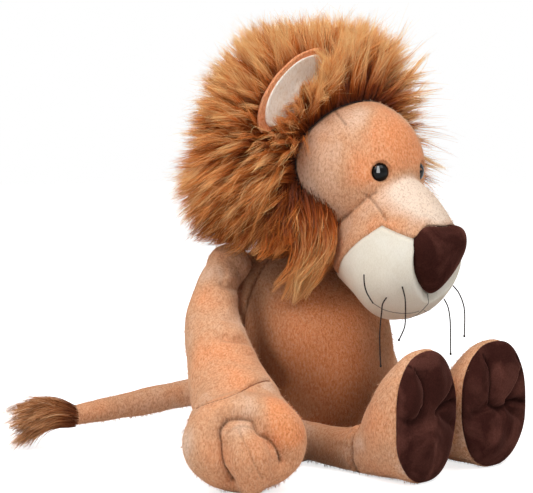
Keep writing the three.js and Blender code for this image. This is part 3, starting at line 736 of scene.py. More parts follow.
def velvet(name, base, mottle_and_sheen, crease):
    material, tree = new_material(name)
    where = object_places(tree)
    nap = cloudy(tree, where, 900.0, 3.0, 0.6)
    brushed = cloudy(tree, where, 34.0, 4.0, 0.55, 0.8)
    # Brushed patches, paler partly as the velvet's own mottling and partly as painted sheen
    colour = mixed(tree, ranged(tree, brushed, 0.46, 0.66, 0.0, 0.85), base, mottle_and_sheen)
    colour = mixed(tree, ranged(tree, nap, 0.35, 0.7, 0.35, 0.0), colour, crease)
    return finished(
        material,
        {
            "Base Color": creased(tree, colour, crease, 0.9), "Normal": bumped(tree, nap, 0.35, 0.0005),
            "Roughness": 0.85, "Specular IOR Level": 0.0, "Sheen Weight": 0.4, "Sheen Roughness": 0.3,
            "Sheen Tint": rgb(0.85, 0.60, 0.54)
        }
    )


def plain(name, colour, other, scale, roughness, specular=0.05):
    material, tree = new_material(name)
    where = object_places(tree)
    grain = ranged(tree, cloudy(tree, where, scale), 0.35, 0.65)
    return finished(
        material,
        {
            "Base Color": mixed(tree, grain, colour, other), "Roughness": roughness,
            "Specular IOR Level": specular
        }
    )


TAN = rgb(0.845, 0.635, 0.485)
TAN_ORANGE = rgb(0.93, 0.605, 0.40)
TAN_PALE = rgb(0.945, 0.865, 0.79)
TAN_TIP = rgb(0.94, 0.80, 0.69)
# The colour that painted shade in grooves, folds and shadowed places goes towards
TAN_PAINTED_SHADE = rgb(0.30, 0.16, 0.09)
tan_plush = plush(
    "tan_plush", base=TAN, gap=rgb(0.76, 0.62, 0.54), nap_tip=TAN_TIP, orange=TAN_ORANGE, pale=TAN_PALE,
    crease=TAN_PAINTED_SHADE
)
tan_nap = short_hair(
    "tan_nap", TAN, TAN_ORANGE, TAN_PALE, TAN_PAINTED_SHADE, rgb(0.84, 0.75, 0.69), rgb(0.97, 0.87, 0.78)
)
cream_plush = plush(
    "cream_plush", base=rgb(0.90, 0.87, 0.81), gap=rgb(0.95, 0.94, 0.92), nap_tip=rgb(0.92, 0.895, 0.84),
    orange=rgb(0.86, 0.81, 0.73), pale=rgb(0.94, 0.93, 0.90), crease=rgb(0.52, 0.42, 0.33), grain=1.5,
    bump=0.12
)
ear_plush = plush(
    "ear_plush", base=rgb(0.97, 0.95, 0.91), gap=rgb(0.90, 0.86, 0.81), nap_tip=rgb(0.99, 0.98, 0.96),
    orange=rgb(0.93, 0.88, 0.80), pale=rgb(0.98, 0.97, 0.95), crease=rgb(0.60, 0.45, 0.33), grain=0.9,
    bump=0.5
)
brown_velvet = velvet(
    "brown_velvet", base=rgb(0.255, 0.135, 0.115), mottle_and_sheen=rgb(0.41, 0.245, 0.21),
    crease=rgb(0.09, 0.04, 0.035)
)
mane_pile = pile(
    "mane_pile", root=rgb(0.36, 0.15, 0.06), dark=rgb(0.66, 0.31, 0.105), middle=rgb(0.89, 0.53, 0.24),
    tip=rgb(0.98, 0.75, 0.48), painted_glint=rgb(1.0, 0.86, 0.62)
)
tuft_pile = pile(
    "tuft_pile", root=rgb(0.42, 0.22, 0.13), dark=rgb(0.54, 0.31, 0.19), middle=rgb(0.76, 0.50, 0.31),
    tip=rgb(0.93, 0.74, 0.54), painted_glint=rgb(0.97, 0.85, 0.70)
)
pile_backing = plain("pile_backing", rgb(0.30, 0.13, 0.05), rgb(0.20, 0.08, 0.03), 700.0, 0.95)
black_gloss = plain("black_gloss", rgb(0.02, 0.016, 0.016), rgb(0.03, 0.024, 0.022), 60.0, 0.05, 0.14)
dark_thread = plain("dark_thread", rgb(0.13, 0.095, 0.085), rgb(0.20, 0.155, 0.14), 2500.0, 0.75)
tan_thread = plain("tan_thread", rgb(0.62, 0.38, 0.24), rgb(0.48, 0.28, 0.17), 2500.0, 0.8)
grey_thread = plain("grey_thread", rgb(0.60, 0.57, 0.53), rgb(0.44, 0.40, 0.36), 2500.0, 0.8)


# Whiskers: four free threads, each with a knot

WHISKERS = {
    "whisker_right_rear": (
        45.7,
        [
            [-31.9, -114.2, 117.4], [-35.0, -113.6, 113.4], [-35.7, -113.4, 108.2], [-37.2, -113.2, 95.8],
            [-37.6, -113.6, 86.0], [-37.8, -114.6, 73.0]
        ]
    ),
    "whisker_right_front": (
        35.8,
        [
            [-28.2, -124.4, 125.0], [-28.4, -127.0, 117.8], [-28.6, -127.7, 108.7],
            [-29.2, -127.8, 100.3], [-30.5, -127.0, 95.7], [-32.4, -125.5, 90.6]
        ]
    ),
    "whisker_left_rear": (
        38.2,
        [
            [20.0, -120.7, 113.4], [20.1, -124.2, 108.0], [20.7, -125.5, 100.0], [20.5, -126.1, 91.9],
            [19.9, -126.9, 76.5]
        ]
    ),
    "whisker_left_front": (
        35.9,
        [
            [19.9, -128.4, 122.8], [20.9, -132.7, 118.0], [22.7, -135.3, 110.0], [22.9, -136.2, 102.0],
            [22.1, -136.6, 89.3]
        ]
    )
}
WHISKER_RADIUS = 0.45
KNOT_RADIUS = 1.0
KNOT_SIDE = 0.8

for whisker_name, (whisker_length, whisker_route) in WHISKERS.items():
    line = even(spread(whisker_route, 200), 30)
    knot = mesh_object(whisker_name + "_knot", *ball(line[-1], [KNOT_SIDE, KNOT_SIDE, KNOT_RADIUS], 12))
    whisker = mesh_object(whisker_name + "_thread", *tube(line, WHISKER_RADIUS, 10, False))
    for part in (whisker, knot):
        part.data.materials.append(dark_thread)
    for part in (whisker, knot):
        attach(part, "head")
    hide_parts(whisker_name)


# Torso

TORSO_HEIGHT = 140.0
TORSO_WIDTH = 124.0
TORSO_DEPTH = 126.0
BELLY_FORWARD = 11.0
TORSO_SHARES = [
    [0.0, 0.6, 0.6, 0.5], [0.03, 0.75, 0.75, 0.6], [0.1, 0.88, 0.88, 0.75], [0.22, 0.96, 0.97, 0.95],
    [0.38, 1.0, 1.0, 1.0], [0.55, 1.0, 1.0, 1.0], [0.7, 0.95, 0.95, 0.8], [0.82, 0.85, 0.84, 0.5],
    [0.92, 0.7, 0.68, 0.2], [1.0, 0.53, 0.53, 0.0]
]


def torso_forms():
    rows = spread(TORSO_SHARES, 110).tolist()
    rows += [[1.02, 0.46, 0.46, 0.0], [1.035, 0.36, 0.36, 0.0], [1.045, 0.2, 0.2, 0.0]]
    return loft(
        [
            ring(
                [0, -BELLY_FORWARD * forward, TORSO_HEIGHT * height], ACROSS, FORWARD,
                TORSO_WIDTH / 2 * width, TORSO_DEPTH / 2 * depth, 170
            )
            for height, width, depth, forward in rows
        ]
    )


# Orange patches of the cloth, and a pale painted highlight near the torso's edge
TORSO_TINTS_AND_HIGHLIGHT = [([(330, 380)], 60, -0.9), ([(300, 330)], 40, -0.35), ([(375, 345)], 20, 0.5)]
# Painted shade under the head, beside the arm and low on the belly above the legs
TORSO_PAINTED_SHADE = [
    ([(270, 300), (262, 345)], 24, 0.24), ([(320, 335)], 48, 0.17),
    ([(250, 272), (252, 290), (255, 310), (262, 345), (272, 375)], 9, 0.55),
    ([(290, 395), (315, 410), (340, 415), (365, 405)], 30, 0.78)
]

torso = mesh_object("torso", *torso_forms())
lumps(torso, 55.0, 1.3, 3)
lumps(torso, 22.0, 0.45, 4)
torso_tree = tree_of(torso)
heights = np.linspace(6, 138, 90)
back_seam = hits(torso_tree, [(0, 200, height) for height in heights], FORWARD)
side_seam = hits(torso_tree, [(-200, -8, height) for height in heights], ACROSS)
# Back and side seams, grooved with painted shade along them
carve(torso, back_seam, 1.3, 1.1, 0.4, 0.6)
carve_both(torso, side_seam, 1.3, 1.0, 0.4, 0.6)
brush(tint, torso, torso_tree, TORSO_TINTS_AND_HIGHLIGHT)
brush(paint_shade_round, torso, torso_tree, TORSO_PAINTED_SHADE)
piece(torso, "torso", tan_plush, ["torso_cover", "torso_filling", "pellet_bag"])

neck = mesh_object("neck", *ball([0, -4, 148], 26.5, 64))
piece(neck, "neck", tan_plush, ["neck_filling"])


# Head: skin of face and skull, muzzle, seams

HEAD_CENTRE = np.array([0.0, -15.0, 213.0])
HEAD_RADIUS = 57.0
FACE_CENTRE = np.array([0.0, -57.0, 200.0])
FACE_RADIUS = 49.0
SEAM_MIDDLE = np.array([0.0, -10.0, 205.0])
SEAM_HALF_WIDTH = 45.5
SEAM_HALF_HEIGHT = 43.0
SEAM_FORWARD = 61.0
SEAM_BOW = 26.0
MUZZLE_BACK = 62.0
MUZZLE_LENGTH = 77.0
MUZZLE_WIDTH = 82.0
MUZZLE_TALL = 101.0
MUZZLE_HEIGHT = 150.5
MUZZLE_TAPER = 0.24
MUZZLE_SHARES = [
    [0.0, 0.72, 0.74, 0.06], [0.22, 0.9, 0.88, 0.035], [0.4, 1.0, 1.0, 0.0], [0.52, 0.99, 0.96, -0.02],
    [0.65, 0.93, 0.88, -0.03], [0.77, 0.82, 0.74, -0.03], [0.88, 0.66, 0.56, -0.025],
    [0.95, 0.48, 0.38, -0.01], [1.0, 0.24, 0.18, 0.01]
]
BRIDGE_HALF_WIDTH = 25.5
CREAM_BACK = np.array([0.0, -66.0, 130.0])
CREAM_APEX = np.array([0.0, -110.0, 164.5])
CREAM_FRONT = np.array([0.0, -130.0, 156.0])
EYE = np.array([-19.0, -95.5, 199.0])
EYE_SOCKET_RADIUS = 8.5
eye_facing = unit((EYE - FACE_CENTRE) * np.array([1, 1, 0]))

muzzle_form = loft(
    [
        ring(
            [0, -(MUZZLE_BACK + MUZZLE_LENGTH * along), MUZZLE_HEIGHT + MUZZLE_TALL * rise], ACROSS, UP,
            MUZZLE_WIDTH / 2 * width, MUZZLE_TALL / 2 * tall, 120, 2.0, MUZZLE_TAPER
        )
        for along, width, tall, rise in spread(MUZZLE_SHARES, 70)
    ]
)
head = fused(
    "face", [ball(HEAD_CENTRE, HEAD_RADIUS, 110), ball(FACE_CENTRE, FACE_RADIUS, 110), muzzle_form], 1.25,
    9
)
muzzle_tree = BVHTree.FromPolygons(muzzle_form[0].tolist(), muzzle_form[1])


def seam_field(p):
    """Above nought in front of the seam between face and mane."""
    away = p - SEAM_MIDDLE
    angle = np.arctan2(away[:, 0] / SEAM_HALF_WIDTH, away[:, 2] / SEAM_HALF_HEIGHT)
    seam_forward = SEAM_FORWARD - SEAM_BOW * np.sin(angle) ** 2
    seam_out = np.hypot(SEAM_HALF_WIDTH * np.sin(angle), SEAM_HALF_HEIGHT * np.cos(angle))
    out = np.hypot(away[:, 0], away[:, 2]) + 1e-6
    return np.clip(-away[:, 1] / out - seam_forward / seam_out, -3, 3)


def muzzle_field(p):
    """Below nought where the muzzle's own form lies outside the head's balls."""
    skin = np.minimum(
        np.linalg.norm(p - HEAD_CENTRE, axis=1) - HEAD_RADIUS,
        np.linalg.norm(p - FACE_CENTRE, axis=1) - FACE_RADIUS
    )
    near = np.array([muzzle_tree.find_nearest(Vector(q))[3] for q in p])
    return near - np.abs(skin)


def cream_field(p):
    """Below nought on the cream cheeks and chin."""

    def above(a, b):
        along = unit(b - a)
        up = np.array([0, -along[2], along[1]])
        up = up if up[2] > 0 else -up
        return (p - a) @ up

    cheeks = np.maximum(above(CREAM_BACK, CREAM_APEX), above(CREAM_APEX, CREAM_FRONT))
    under = np.maximum(np.abs(p[:, 0]) - BRIDGE_HALF_WIDTH, p[:, 2] - MUZZLE_HEIGHT)
    return np.minimum(cheeks, under)


NOSE_CENTRE = np.array([0.0, -131.0, 143.0])
NOSE_WIDTH = 48.0
NOSE_TALL = 50.0
NOSE_BULGE = 10.5
NOSE_SEAT = 9.0
NOSE_LEAN = math.radians(17)
NOSE_OUTLINE = [
    [0.0, 0.42], [0.26, 0.43], [0.42, 0.36], [0.5, 0.2], [0.47, 0.02], [0.36, -0.2], [0.18, -0.39],
    [0.0, -0.5]
]
NOSE_DOME = [[-1.0, 0.9], [-0.3, 0.98], [0.12, 1.0], [0.45, 0.9], [0.75, 0.7], [0.94, 0.4], [1.0, 0.1]]
nose_facing = np.array([0, -math.cos(NOSE_LEAN), -math.sin(NOSE_LEAN)])
nose_up = np.array([0, -math.sin(NOSE_LEAN), math.cos(NOSE_LEAN)])
right_half = [[-x, z] for x, z in NOSE_OUTLINE[1:-1]][::-1]
nose_outline = spread_round(NOSE_OUTLINE + right_half, 110)


def nose_place(points):
    """How far points lie out from the nose's middle, as a share of its outline, and how deep."""
    away = points - NOSE_CENTRE
    across = away @ ACROSS / NOSE_WIDTH
    high = away @ nose_up / NOSE_TALL
    angle = np.arctan2(across, high)
    edge_angle = np.arctan2(nose_outline[:, 0], nose_outline[:, 1])
    edge_far = np.hypot(nose_outline[:, 0], nose_outline[:, 1])
    order = np.argsort(edge_angle)
    edge = np.interp(angle, edge_angle[order], edge_far[order], period=2 * math.pi)
    return np.hypot(across, high) / edge, away @ nose_facing


NOSE_HOLLOW = 5.0
NOSE_SLOPE = 13.0
SIDE_PANEL = [(366, 195), (372, 200), (379, 209), (386, 220)]
BROW_SEAM = [(331, 108), (336, 112), (341, 118), (346, 124)]
MUZZLE_SEAM_TOP = 172
MUZZLE_CREASE_TOP = 186
HEAD_TINTS = [
    ([(392, 122), (400, 140), (388, 158)], 17, -0.75), ([(368, 168), (360, 176)], 12, -0.25),
    ([(404, 188), (422, 194), (440, 208)], 15, 0.72), ([(372, 112), (356, 118)], 14, 0.3),
    ([(316, 150), (330, 180)], 22, 0.12), ([(372, 226), (400, 224)], 8, -0.3)
]

p = places(head)
# The muzzle lies back where the nose is sewn on
share, deep = nose_place(p)
limit = np.where(share < 1.0, -NOSE_HOLLOW, -1.6 + NOSE_SLOPE * (share - 1.0))
seated = (share < 1.45) & (deep > limit) & (deep > -30)
p[seated] -= nose_facing * (deep - limit)[seated, None]
for _, side in SIDES:
    middle = (EYE + EYE_SOCKET_RADIUS * eye_facing) * sided(side)
    away = p - middle
    far = np.linalg.norm(away, axis=1)
    inside = far < EYE_SOCKET_RADIUS
    p[inside] = middle + away[inside] * (EYE_SOCKET_RADIUS / far[inside])[:, None]
place(head, p)
smoothed(head, 3)

p = places(head)
muzzle_values = muzzle_field(p)
cream_values = cream_field(p)
seam_values = np.where(muzzle_values < 0, 0.5, seam_field(p))
seam_route = crossing(head, seam_values)
muzzle_route = crossing(head, muzzle_values)
muzzle_high = muzzle_route[:, 2]
crease = (muzzle_high >= MUZZLE_SEAM_TOP) & (muzzle_high < MUZZLE_CREASE_TOP)
cream_route = crossing(head, np.where(muzzle_values < 0, cream_values, np.maximum(cream_values, 0.5)))
face_tree = tree_of(head)
lumps(head, 34.0, 0.7, 8, False)
# Seams and creases of the face, grooved with painted shade along them
carve(head, seam_route, 1.3, 1.1, 0.3, 0.7)
carve(head, muzzle_route[muzzle_high < MUZZLE_SEAM_TOP], 1.2, 1.2, 0.3, 0.7)
carve(head, muzzle_route[crease], 1.1, 0.9, 0.3, 0.4)
carve(head, cream_route, 1.2, 1.1, 0.35, 0.3)
side_panel = trace(face_tree, SIDE_PANEL)
brow_seam = trace(face_tree, BROW_SEAM)
carve_both(head, side_panel, 1.1, 0.9, 0.3, 0.45)
carve_both(head, brow_seam, 1.0, 0.9, 0.3, 0.6)
for pixels, size, amount in HEAD_TINTS:
    found = trace(face_tree, pixels, 0.5)
    found = found[:: max(1, len(found) // 3)][:4]
    tint(head, found, size, amount)
    tint(head, found * MIRROR, size, amount * 0.5)

muzzle = split(head, muzzle_field(places(head)), "muzzle")
cheeks = split(muzzle, cream_field(places(muzzle)), "cheeks")
mane_skin = split(head, seam_field(places(head)), "mane_backing")
piece(mane_skin, "head", pile_backing, ["mane_pelt"])
piece(head, "head", tan_plush, ["face_cover", "head_filling"])
piece(
    muzzle, "head", tan_plush,
    ["muzzle_bridge", "muzzle_side_right", "muzzle_side_left", "muzzle_filling"]
)
piece(cheeks, "head", cream_plush, ["cheek_right", "cheek_left"])

# Nose pad
nose_rings = []
for depth, size in spread(NOSE_DOME, 40):
    reach = NOSE_SEAT * depth if depth < 0 else NOSE_BULGE * depth
    nose_rings.append(
        NOSE_CENTRE + nose_facing * reach + np.outer(nose_outline[:, 0] * NOSE_WIDTH * size, ACROSS)
        + np.outer(nose_outline[:, 1] * NOSE_TALL * size, nose_up)
    )
nose = mesh_object("nose_pad", *loft(nose_rings))
lumps(nose, 18.0, 0.35, 21, False)
piece(nose, "head", brown_velvet, ["nose"])

# Mouth, centre seam and dark seam round the face
MOUTH_CORNER = [(364, 275), (364.5, 284), (367, 293), (373, 303)]
MOUTH_LINE = [(373, 303), (385, 310), (399, 313), (411, 313), (419, 311)]
CHIN_LOW = 97.5
CHIN_HIGH = 118
SEAM_LOW = 168
SEAM_POINTS = 260
cheek_tree = tree_of(cheeks)
for name, pixels, radius, look in (
    ("mouth_corner", MOUTH_CORNER, 0.5, dark_thread), ("mouth_line", MOUTH_LINE, 0.32, grey_thread)
):
    route = even(trace(cheek_tree, pixels), 40)
    forms = [tube(route, radius, 8), tube(route * MIRROR, radius, 8)]
    piece(mesh_object(name, *joined(forms)), "head", look)
heights = np.linspace(CHIN_LOW, CHIN_HIGH, 30)
chin_line = hits(cheek_tree, [(0, -300, height) for height in heights], -FORWARD)
piece(mesh_object("chin_seam", *tube(chin_line, 0.35, 8)), "head", grey_thread)

away = seam_route - SEAM_MIDDLE
angles = np.arctan2(away[:, 0], away[:, 2])
order = np.argsort(angles)
seam_loop = seam_route[order]
seam_line = []
for a in np.linspace(-math.pi, math.pi, SEAM_POINTS, endpoint=False):
    w = np.exp(-(((angles[order] - a + math.pi) % (2 * math.pi) - math.pi) / 0.03) ** 2)
    if w.sum() > 0.5:
        seam_line.append((seam_loop * w[:, None]).sum(0) / w.sum())
seam_line = np.array(seam_line)
seam_line = np.roll(seam_line, -int(np.argmax(seam_line[:, 2] <= SEAM_LOW)), axis=0)
seam_line = seam_line[seam_line[:, 2] > SEAM_LOW]
seam_thread = mesh_object("face_seam_stitches", *stitches(seam_line, 2.6, 1.7, 0.42))
piece(seam_thread, "head", dark_thread)

# Eyes
EYE_DOME_RADIUS = 6.6
EYE_DOME_RISE = 4.9
EYE_RIM = 1.4
EYE_ROWS = [[2.0, -6.0], [2.0, 0.0], [6.4, 0.0], [6.9, 0.35], [6.95, 0.9], [6.8, EYE_RIM]]
for angle in np.radians(np.linspace(8, 86, 16)):
    EYE_ROWS.append([EYE_DOME_RADIUS * math.cos(angle), EYE_RIM + EYE_DOME_RISE * math.sin(angle)])
eye_across = unit(np.cross(eye_facing, UP))
eye_form = loft(
    [ring(EYE + eye_facing * reach, eye_across, UP, radius, radius, 48) for radius, reach in EYE_ROWS]
)
for suffix, side in SIDES:
    eye = mesh_object("eye_" + suffix + "_dome", *for_side(side, eye_form))
    piece(eye, "head", black_gloss, ["eye_" + suffix, "eye_washer_" + suffix])

# Ears
EAR_HALF_LENGTH = 38.0
EAR_HEIGHT = 22.0
EAR_ROOT = 9.0
EAR_OUTER = 3.0
EAR_LINING_SHARE = 0.86
EAR_CUP = 7.0
EAR_BASE = np.array([-40.0, -41.0, 252.0])
ear_lean = math.radians(41)
ear_turn = math.radians(14)
ear_chord = np.array([math.cos(ear_lean), 0, math.sin(ear_lean)])
ear_facing = np.array([-math.sin(ear_turn), -math.cos(ear_turn), 0])
ear_along = unit(ear_chord - ear_facing * (ear_chord @ ear_facing))
ear_out = unit(np.cross(ear_facing, ear_along))
ear_out = ear_out if ear_out[2] > 0 else -ear_out


def ear_leaf(length_share, share, depth, sides=100):
    angle = np.arange(sides) / sides * 2 * math.pi
    high = np.cos(angle)
    reach = np.where(high > 0, EAR_HEIGHT * length_share, EAR_ROOT)
    rim = (share * length_share) ** 2 * np.maximum(high, 0)
    return (
        EAR_BASE + np.outer(np.sin(angle) * share * EAR_HALF_LENGTH * length_share, ear_along)
        + np.outer(high * share * reach, ear_out) + np.outer(depth + EAR_CUP * rim, ear_facing)
    )


def ear_form(length_share, front, back, rim):
    shares = np.linspace(0.06, 0.97, 16)
    rings = [ear_leaf(length_share, s, -back) for s in shares]
    for angle in np.radians(np.linspace(-70, 70, 7)):
        middle = (front - back) / 2
        half = (front + back) / 2
        rings.append(
            ear_leaf(length_share, 0.97 + rim * math.cos(angle), middle + half * math.sin(angle))
        )
    rings += [ear_leaf(length_share, s, front) for s in shares[::-1]]
    return loft(rings)


EAR_PARTS = (
    ("outer", ear_form(1.0, 0.6, EAR_OUTER, 0.05), tan_plush, "tan_plush"),
    ("lining", ear_form(EAR_LINING_SHARE, 2.2, -0.2, 0.03), ear_plush, "cream_plush")
)
for suffix, side in SIDES:
    for kind, form, look, slot_name in EAR_PARTS:
        ear = mesh_object(f"ear_{suffix}_{kind}", *for_side(side, form))
        lumps(ear, 14.0, 0.5, 30, False)
        if kind == "outer":
            set_values(ear, "tint", np.full(len(ear.data.vertices), -0.7))
        piece(ear, "head", look, [f"ear_{kind}_{suffix}"])


# Arms and hands

SHOULDER = np.array([-51.0, 15.0, 132.0])
SHOULDER_RADIUS = 16.0
ARM_THICKNESS = 47.0
ARM_SHARES = [
    [0.0, 0.0, 0.0, 0.56], [0.31, 0.1, 0.17, 0.63], [0.54, 0.25, 0.44, 0.82], [0.7, 0.5, 0.68, 0.98],
    [0.87, 0.78, 0.88, 1.12], [1.0, 1.0, 1.0, 1.22]
]
HAND_LENGTH = 59.0
HAND_WIDTH = 78.0
HAND_TALL = 61.0
HAND_DROP = 14.0
THUMB_FORWARD = 0.82
THUMB_ACROSS = 0.02
THUMB_LOW = 0.09
THUMB_SIZE = np.array([17.0, 16.0, 25.0])
HAND_SHARES = [
    [-0.25, 0.4, 0.5, -0.35], [0.0, 0.68, 0.8, 0.05], [0.22, 0.86, 0.94, 0.52], [0.45, 0.97, 1.0, 0.95],
    [0.68, 1.0, 1.0, 1.0], [0.86, 0.86, 0.86, 1.02], [0.97, 0.58, 0.56, 1.1], [1.0, 0.3, 0.28, 1.15]
]


def arm_rows(out, forward, drop, count=70):
    o, f, d, thick = spread(ARM_SHARES, count).T
    return np.stack(
        [
            SHOULDER[0] - out * o, SHOULDER[1] - forward * f, SHOULDER[2] - drop * d,
            ARM_THICKNESS / 2 * thick
        ],
        axis=1
    )


def hand_frame(turn_degrees):
    a = math.radians(turn_degrees)
    heading = np.array([-math.sin(a), -math.cos(a), 0.0])
    across = np.array([math.cos(a), -math.sin(a), 0.0])
    return heading, across


def hand_form(wrist, turn_degrees):
    heading, across = hand_frame(turn_degrees)
    return loft(
        [
            ring(
                wrist + heading * HAND_LENGTH * along - UP * HAND_DROP * drop, across, UP,
                HAND_WIDTH / 2 * width, HAND_TALL / 2 * tall, 90
            )
            for along, width, tall, drop in spread(HAND_SHARES, 50)
        ]
    )


def thumb_form(wrist, turn_degrees):
    heading, across = hand_frame(turn_degrees)
    points, faces = ball([0, 0, 0], 1.0, 60)
    centre = wrist + heading * HAND_LENGTH * THUMB_FORWARD + across * HAND_WIDTH * THUMB_ACROSS
    centre = centre - UP * (HAND_DROP + HAND_TALL * THUMB_LOW)
    away = points * THUMB_SIZE
    return centre + away[:, :1] * across + away[:, 1:2] * heading + away[:, 2:] * UP, faces


def to_hand(points, wrist, turn_degrees):
    heading, across = hand_frame(turn_degrees)
    away = points - wrist
    return np.stack([away @ heading, away @ across, away[:, 2]], axis=1)


def from_hand(local, wrist, turn_degrees):
    heading, across = hand_frame(turn_degrees)
    return wrist + local[:, :1] * heading + local[:, 1:2] * across + local[:, 2:] * UP


def on_surface(tree, points):
    return np.array([list(tree.find_nearest(Vector(q))[0]) for q in points])


HAND_GROOVES = [
    [(231, 486.5), (224.5, 471), (221.6, 457), (220.9, 445), (218.7, 436), (219.5, 428), (226.6, 418.6)],
    [
        (226.6, 418.6), (235, 416.9), (245, 417.4), (252.3, 419.5), (256, 425.7), (260, 431.4),
        (266.6, 435.5)
    ],
    [(266.6, 435.5), (272.3, 441.4), (278, 450), (281.6, 458), (283.5, 463)]
]
# Width, depth and painted shade of each groove
HAND_GROOVE_SIZES = [(1.5, 2.2, 0.9), (1.5, 1.8, 0.6), (1.5, 2.0, 0.85)]
THUMB_SEAMS = [
    [(226.6, 432.9), (235, 427.9), (245, 425.7), (255, 427)],
    [(239, 430), (242, 438), (248, 448.6), (252.3, 460), (258, 471), (262, 477)]
]
# Each fold's route, width, depth and painted shade along it
ARM_FOLDS = [
    ([(252, 345), (243, 341), (232, 340), (221, 336), (213, 330)], 3.4, 2.2, 0.12),
    ([(246, 291), (238, 287), (228, 286), (219, 281)], 3.2, 1.8, 0.12),
    ([(242, 317), (232, 319), (222, 316)], 3.4, 1.1, 0.0)
]
WRIST_SEAM = [(196, 407), (212, 403), (232, 395), (250, 386), (264, 381), (270, 381)]
# Below nought, orange patches of the cloth; above nought, painted highlights on the folds, the thumb, the
# wrist and the hand's outer edge
ARM_TINTS_AND_HIGHLIGHTS = [
    ([(201, 290), (208, 305)], 9, -0.12), ([(206, 352)], 18, -0.6), ([(240, 375)], 14, -0.5),
    ([(222, 400)], 13, -0.3), ([(284, 404), (292, 430)], 12, -0.4), ([(258, 448)], 8, -0.3),
    ([(210, 455)], 10, -0.35), ([(228, 332), (240, 330)], 5, 0.12), ([(188, 430), (187, 450)], 7, 0.1),
    ([(262, 388), (270, 384)], 6, 0.25), ([(240, 430)], 4, 0.15)
]
HAND_LOBES = [(240, 456), (201, 456), (284, 424)]
# How far out, forward and down each wrist lies, and how far its hand is turned
ARM_POSES = {"right": (60, 72, 86, 38.0), "left": (58, -44, 86, 110.0)}
hand_routes = []

for suffix, side in SIDES:
    *reaches, turn_degrees = ARM_POSES[suffix]
    rows = arm_rows(*reaches)
    wrist = rows[-1, :3]
    arm = fused(
        "arm_" + suffix,
        [
            loft(limb(rows, 80)), ball(SHOULDER, SHOULDER_RADIUS, 60), ball(wrist, rows[-1, 3], 60),
            hand_form(wrist, turn_degrees), thumb_form(wrist, turn_degrees)
        ],
        0.95, 12
    )
    arm_tree = tree_of(arm)
    lumps(arm, 30.0, 0.9, 12)
    lumps(arm, 13.0, 0.35, 13)
    if suffix == "right":
        for pixels, (width, depth, dark) in zip(HAND_GROOVES, HAND_GROOVE_SIZES):
            route = to_hand(trace(arm_tree, pixels), wrist, turn_degrees)
            hand_routes.append((route, width, depth, dark))
            hand_routes.append((route, 6.0, 4.2, 0.0))
        for pixels in THUMB_SEAMS:
            route = to_hand(trace(arm_tree, pixels), wrist, turn_degrees)
            hand_routes.append((route, 1.1, 0.8, 0.3))
        lobes = np.concatenate([trace(arm_tree, [spot]) for spot in HAND_LOBES])
        hand_lobes = to_hand(lobes, wrist, turn_degrees)
        wrist_local = to_hand(trace(arm_tree, WRIST_SEAM), wrist, turn_degrees)
        for pixels, width, depth, dark in ARM_FOLDS:
            carve(arm, trace(arm_tree, pixels), width, depth, 0.75, dark, True)
        brush(tint, arm, arm_tree, ARM_TINTS_AND_HIGHLIGHTS, 0.4)
    grooves = []
    for local, width, depth, dark in hand_routes:
        route = from_hand(local, wrist, turn_degrees)
        if suffix == "left":
            route = on_surface(arm_tree, route)
        grooves.append((route, width, depth, dark))
    # Hand grooves, drawn with painted shade along their lines
    carve_all(arm, grooves, 0.2)
    swell(arm, on_surface(arm_tree, from_hand(hand_lobes, wrist, turn_degrees)), 13.0, 2.2)
    route = on_surface(arm_tree, from_hand(wrist_local, wrist, turn_degrees))
    # The wrist seam's groove, with painted shade along it
    carve(arm, route, 1.3, 0.9, 0.4, 0.3)
    keep_off_floor(arm)
    heading, _ = hand_frame(turn_degrees)
    seam_stitches = stitches(on_surface(tree_of(arm), route), 2.6, 1.6, 0.4)
    # Cut where the arm goes into the hand, on a plane through the wrist's stitched seam
    middle = from_hand(np.array([wrist_local.mean(0)]), wrist, turn_degrees)[0]
    along = unit(route[-1] - route[0])
    into_hand = unit(np.cross(along, unit(np.cross(along, heading - 0.9 * UP))))
    into_hand = into_hand if into_hand @ (heading - UP) > 0 else -into_hand
    cut = (places(arm) - middle) @ into_hand
    hand = split(arm, -cut, "hand_" + suffix)
    if side < 0:
        mirror_piece(arm)
        mirror_piece(hand)
    piece(
        arm, "arm_" + suffix, tan_plush, ["arm_cover_" + suffix, "arm_filling_" + suffix],
    )
    piece(
        hand, "arm_" + suffix, tan_plush,
        ["hand_cover_" + suffix, "hand_filling_" + suffix, "thumb_" + suffix]
    )
    thread = mesh_object("wrist_stitches_" + suffix, *for_side(side, seam_stitches))
    piece(thread, "arm_" + suffix, tan_thread)


# Legs, feet and soles

HIP = np.array([-42.0, -46.0, 16.0])
HIP_RADIUS = 15.5
LEG_LENGTH = 56.0
LEG_THICKNESS = 31.0
LEG_RISE = -1.5
LEG_SHARES = [[0.0, 0.0, 0.84], [0.3, 0.7, 0.84], [0.65, 1.0, 0.9], [1.0, 0.3, 1.0]]
FOOT_DEPTH = 46.0
FOOT_WIDTH = 67.0
FOOT_TALL = 86.0
FOOT_SQUARENESS = 2.25
FOOT_SHARES = [
    [0.0, 0.463, 0.36, 0.186], [0.1, 0.57, 0.48, 0.245], [0.25, 0.71, 0.63, 0.32],
    [0.43, 0.85, 0.77, 0.39], [0.63, 0.95, 0.89, 0.45], [0.82, 1.0, 0.98, 0.492], [0.95, 0.98, 1.0, 0.5],
    [1.0, 0.975, 0.975, 0.5]
]
SOLE_THICKNESS = 3.2
SOLE_BULGE = 3.4
SOLE_GAP = 0.4
SOLE_EDGE = 1.5
ankle_forward = 46.0 + LEG_LENGTH


def foot_ring(along, width, tall, middle, sides=110):
    return ring(
        [HIP[0], -ankle_forward - FOOT_DEPTH * along, FOOT_TALL * middle], ACROSS, UP,
        FOOT_WIDTH / 2 * width, FOOT_TALL / 2 * tall, sides, FOOT_SQUARENESS
    )


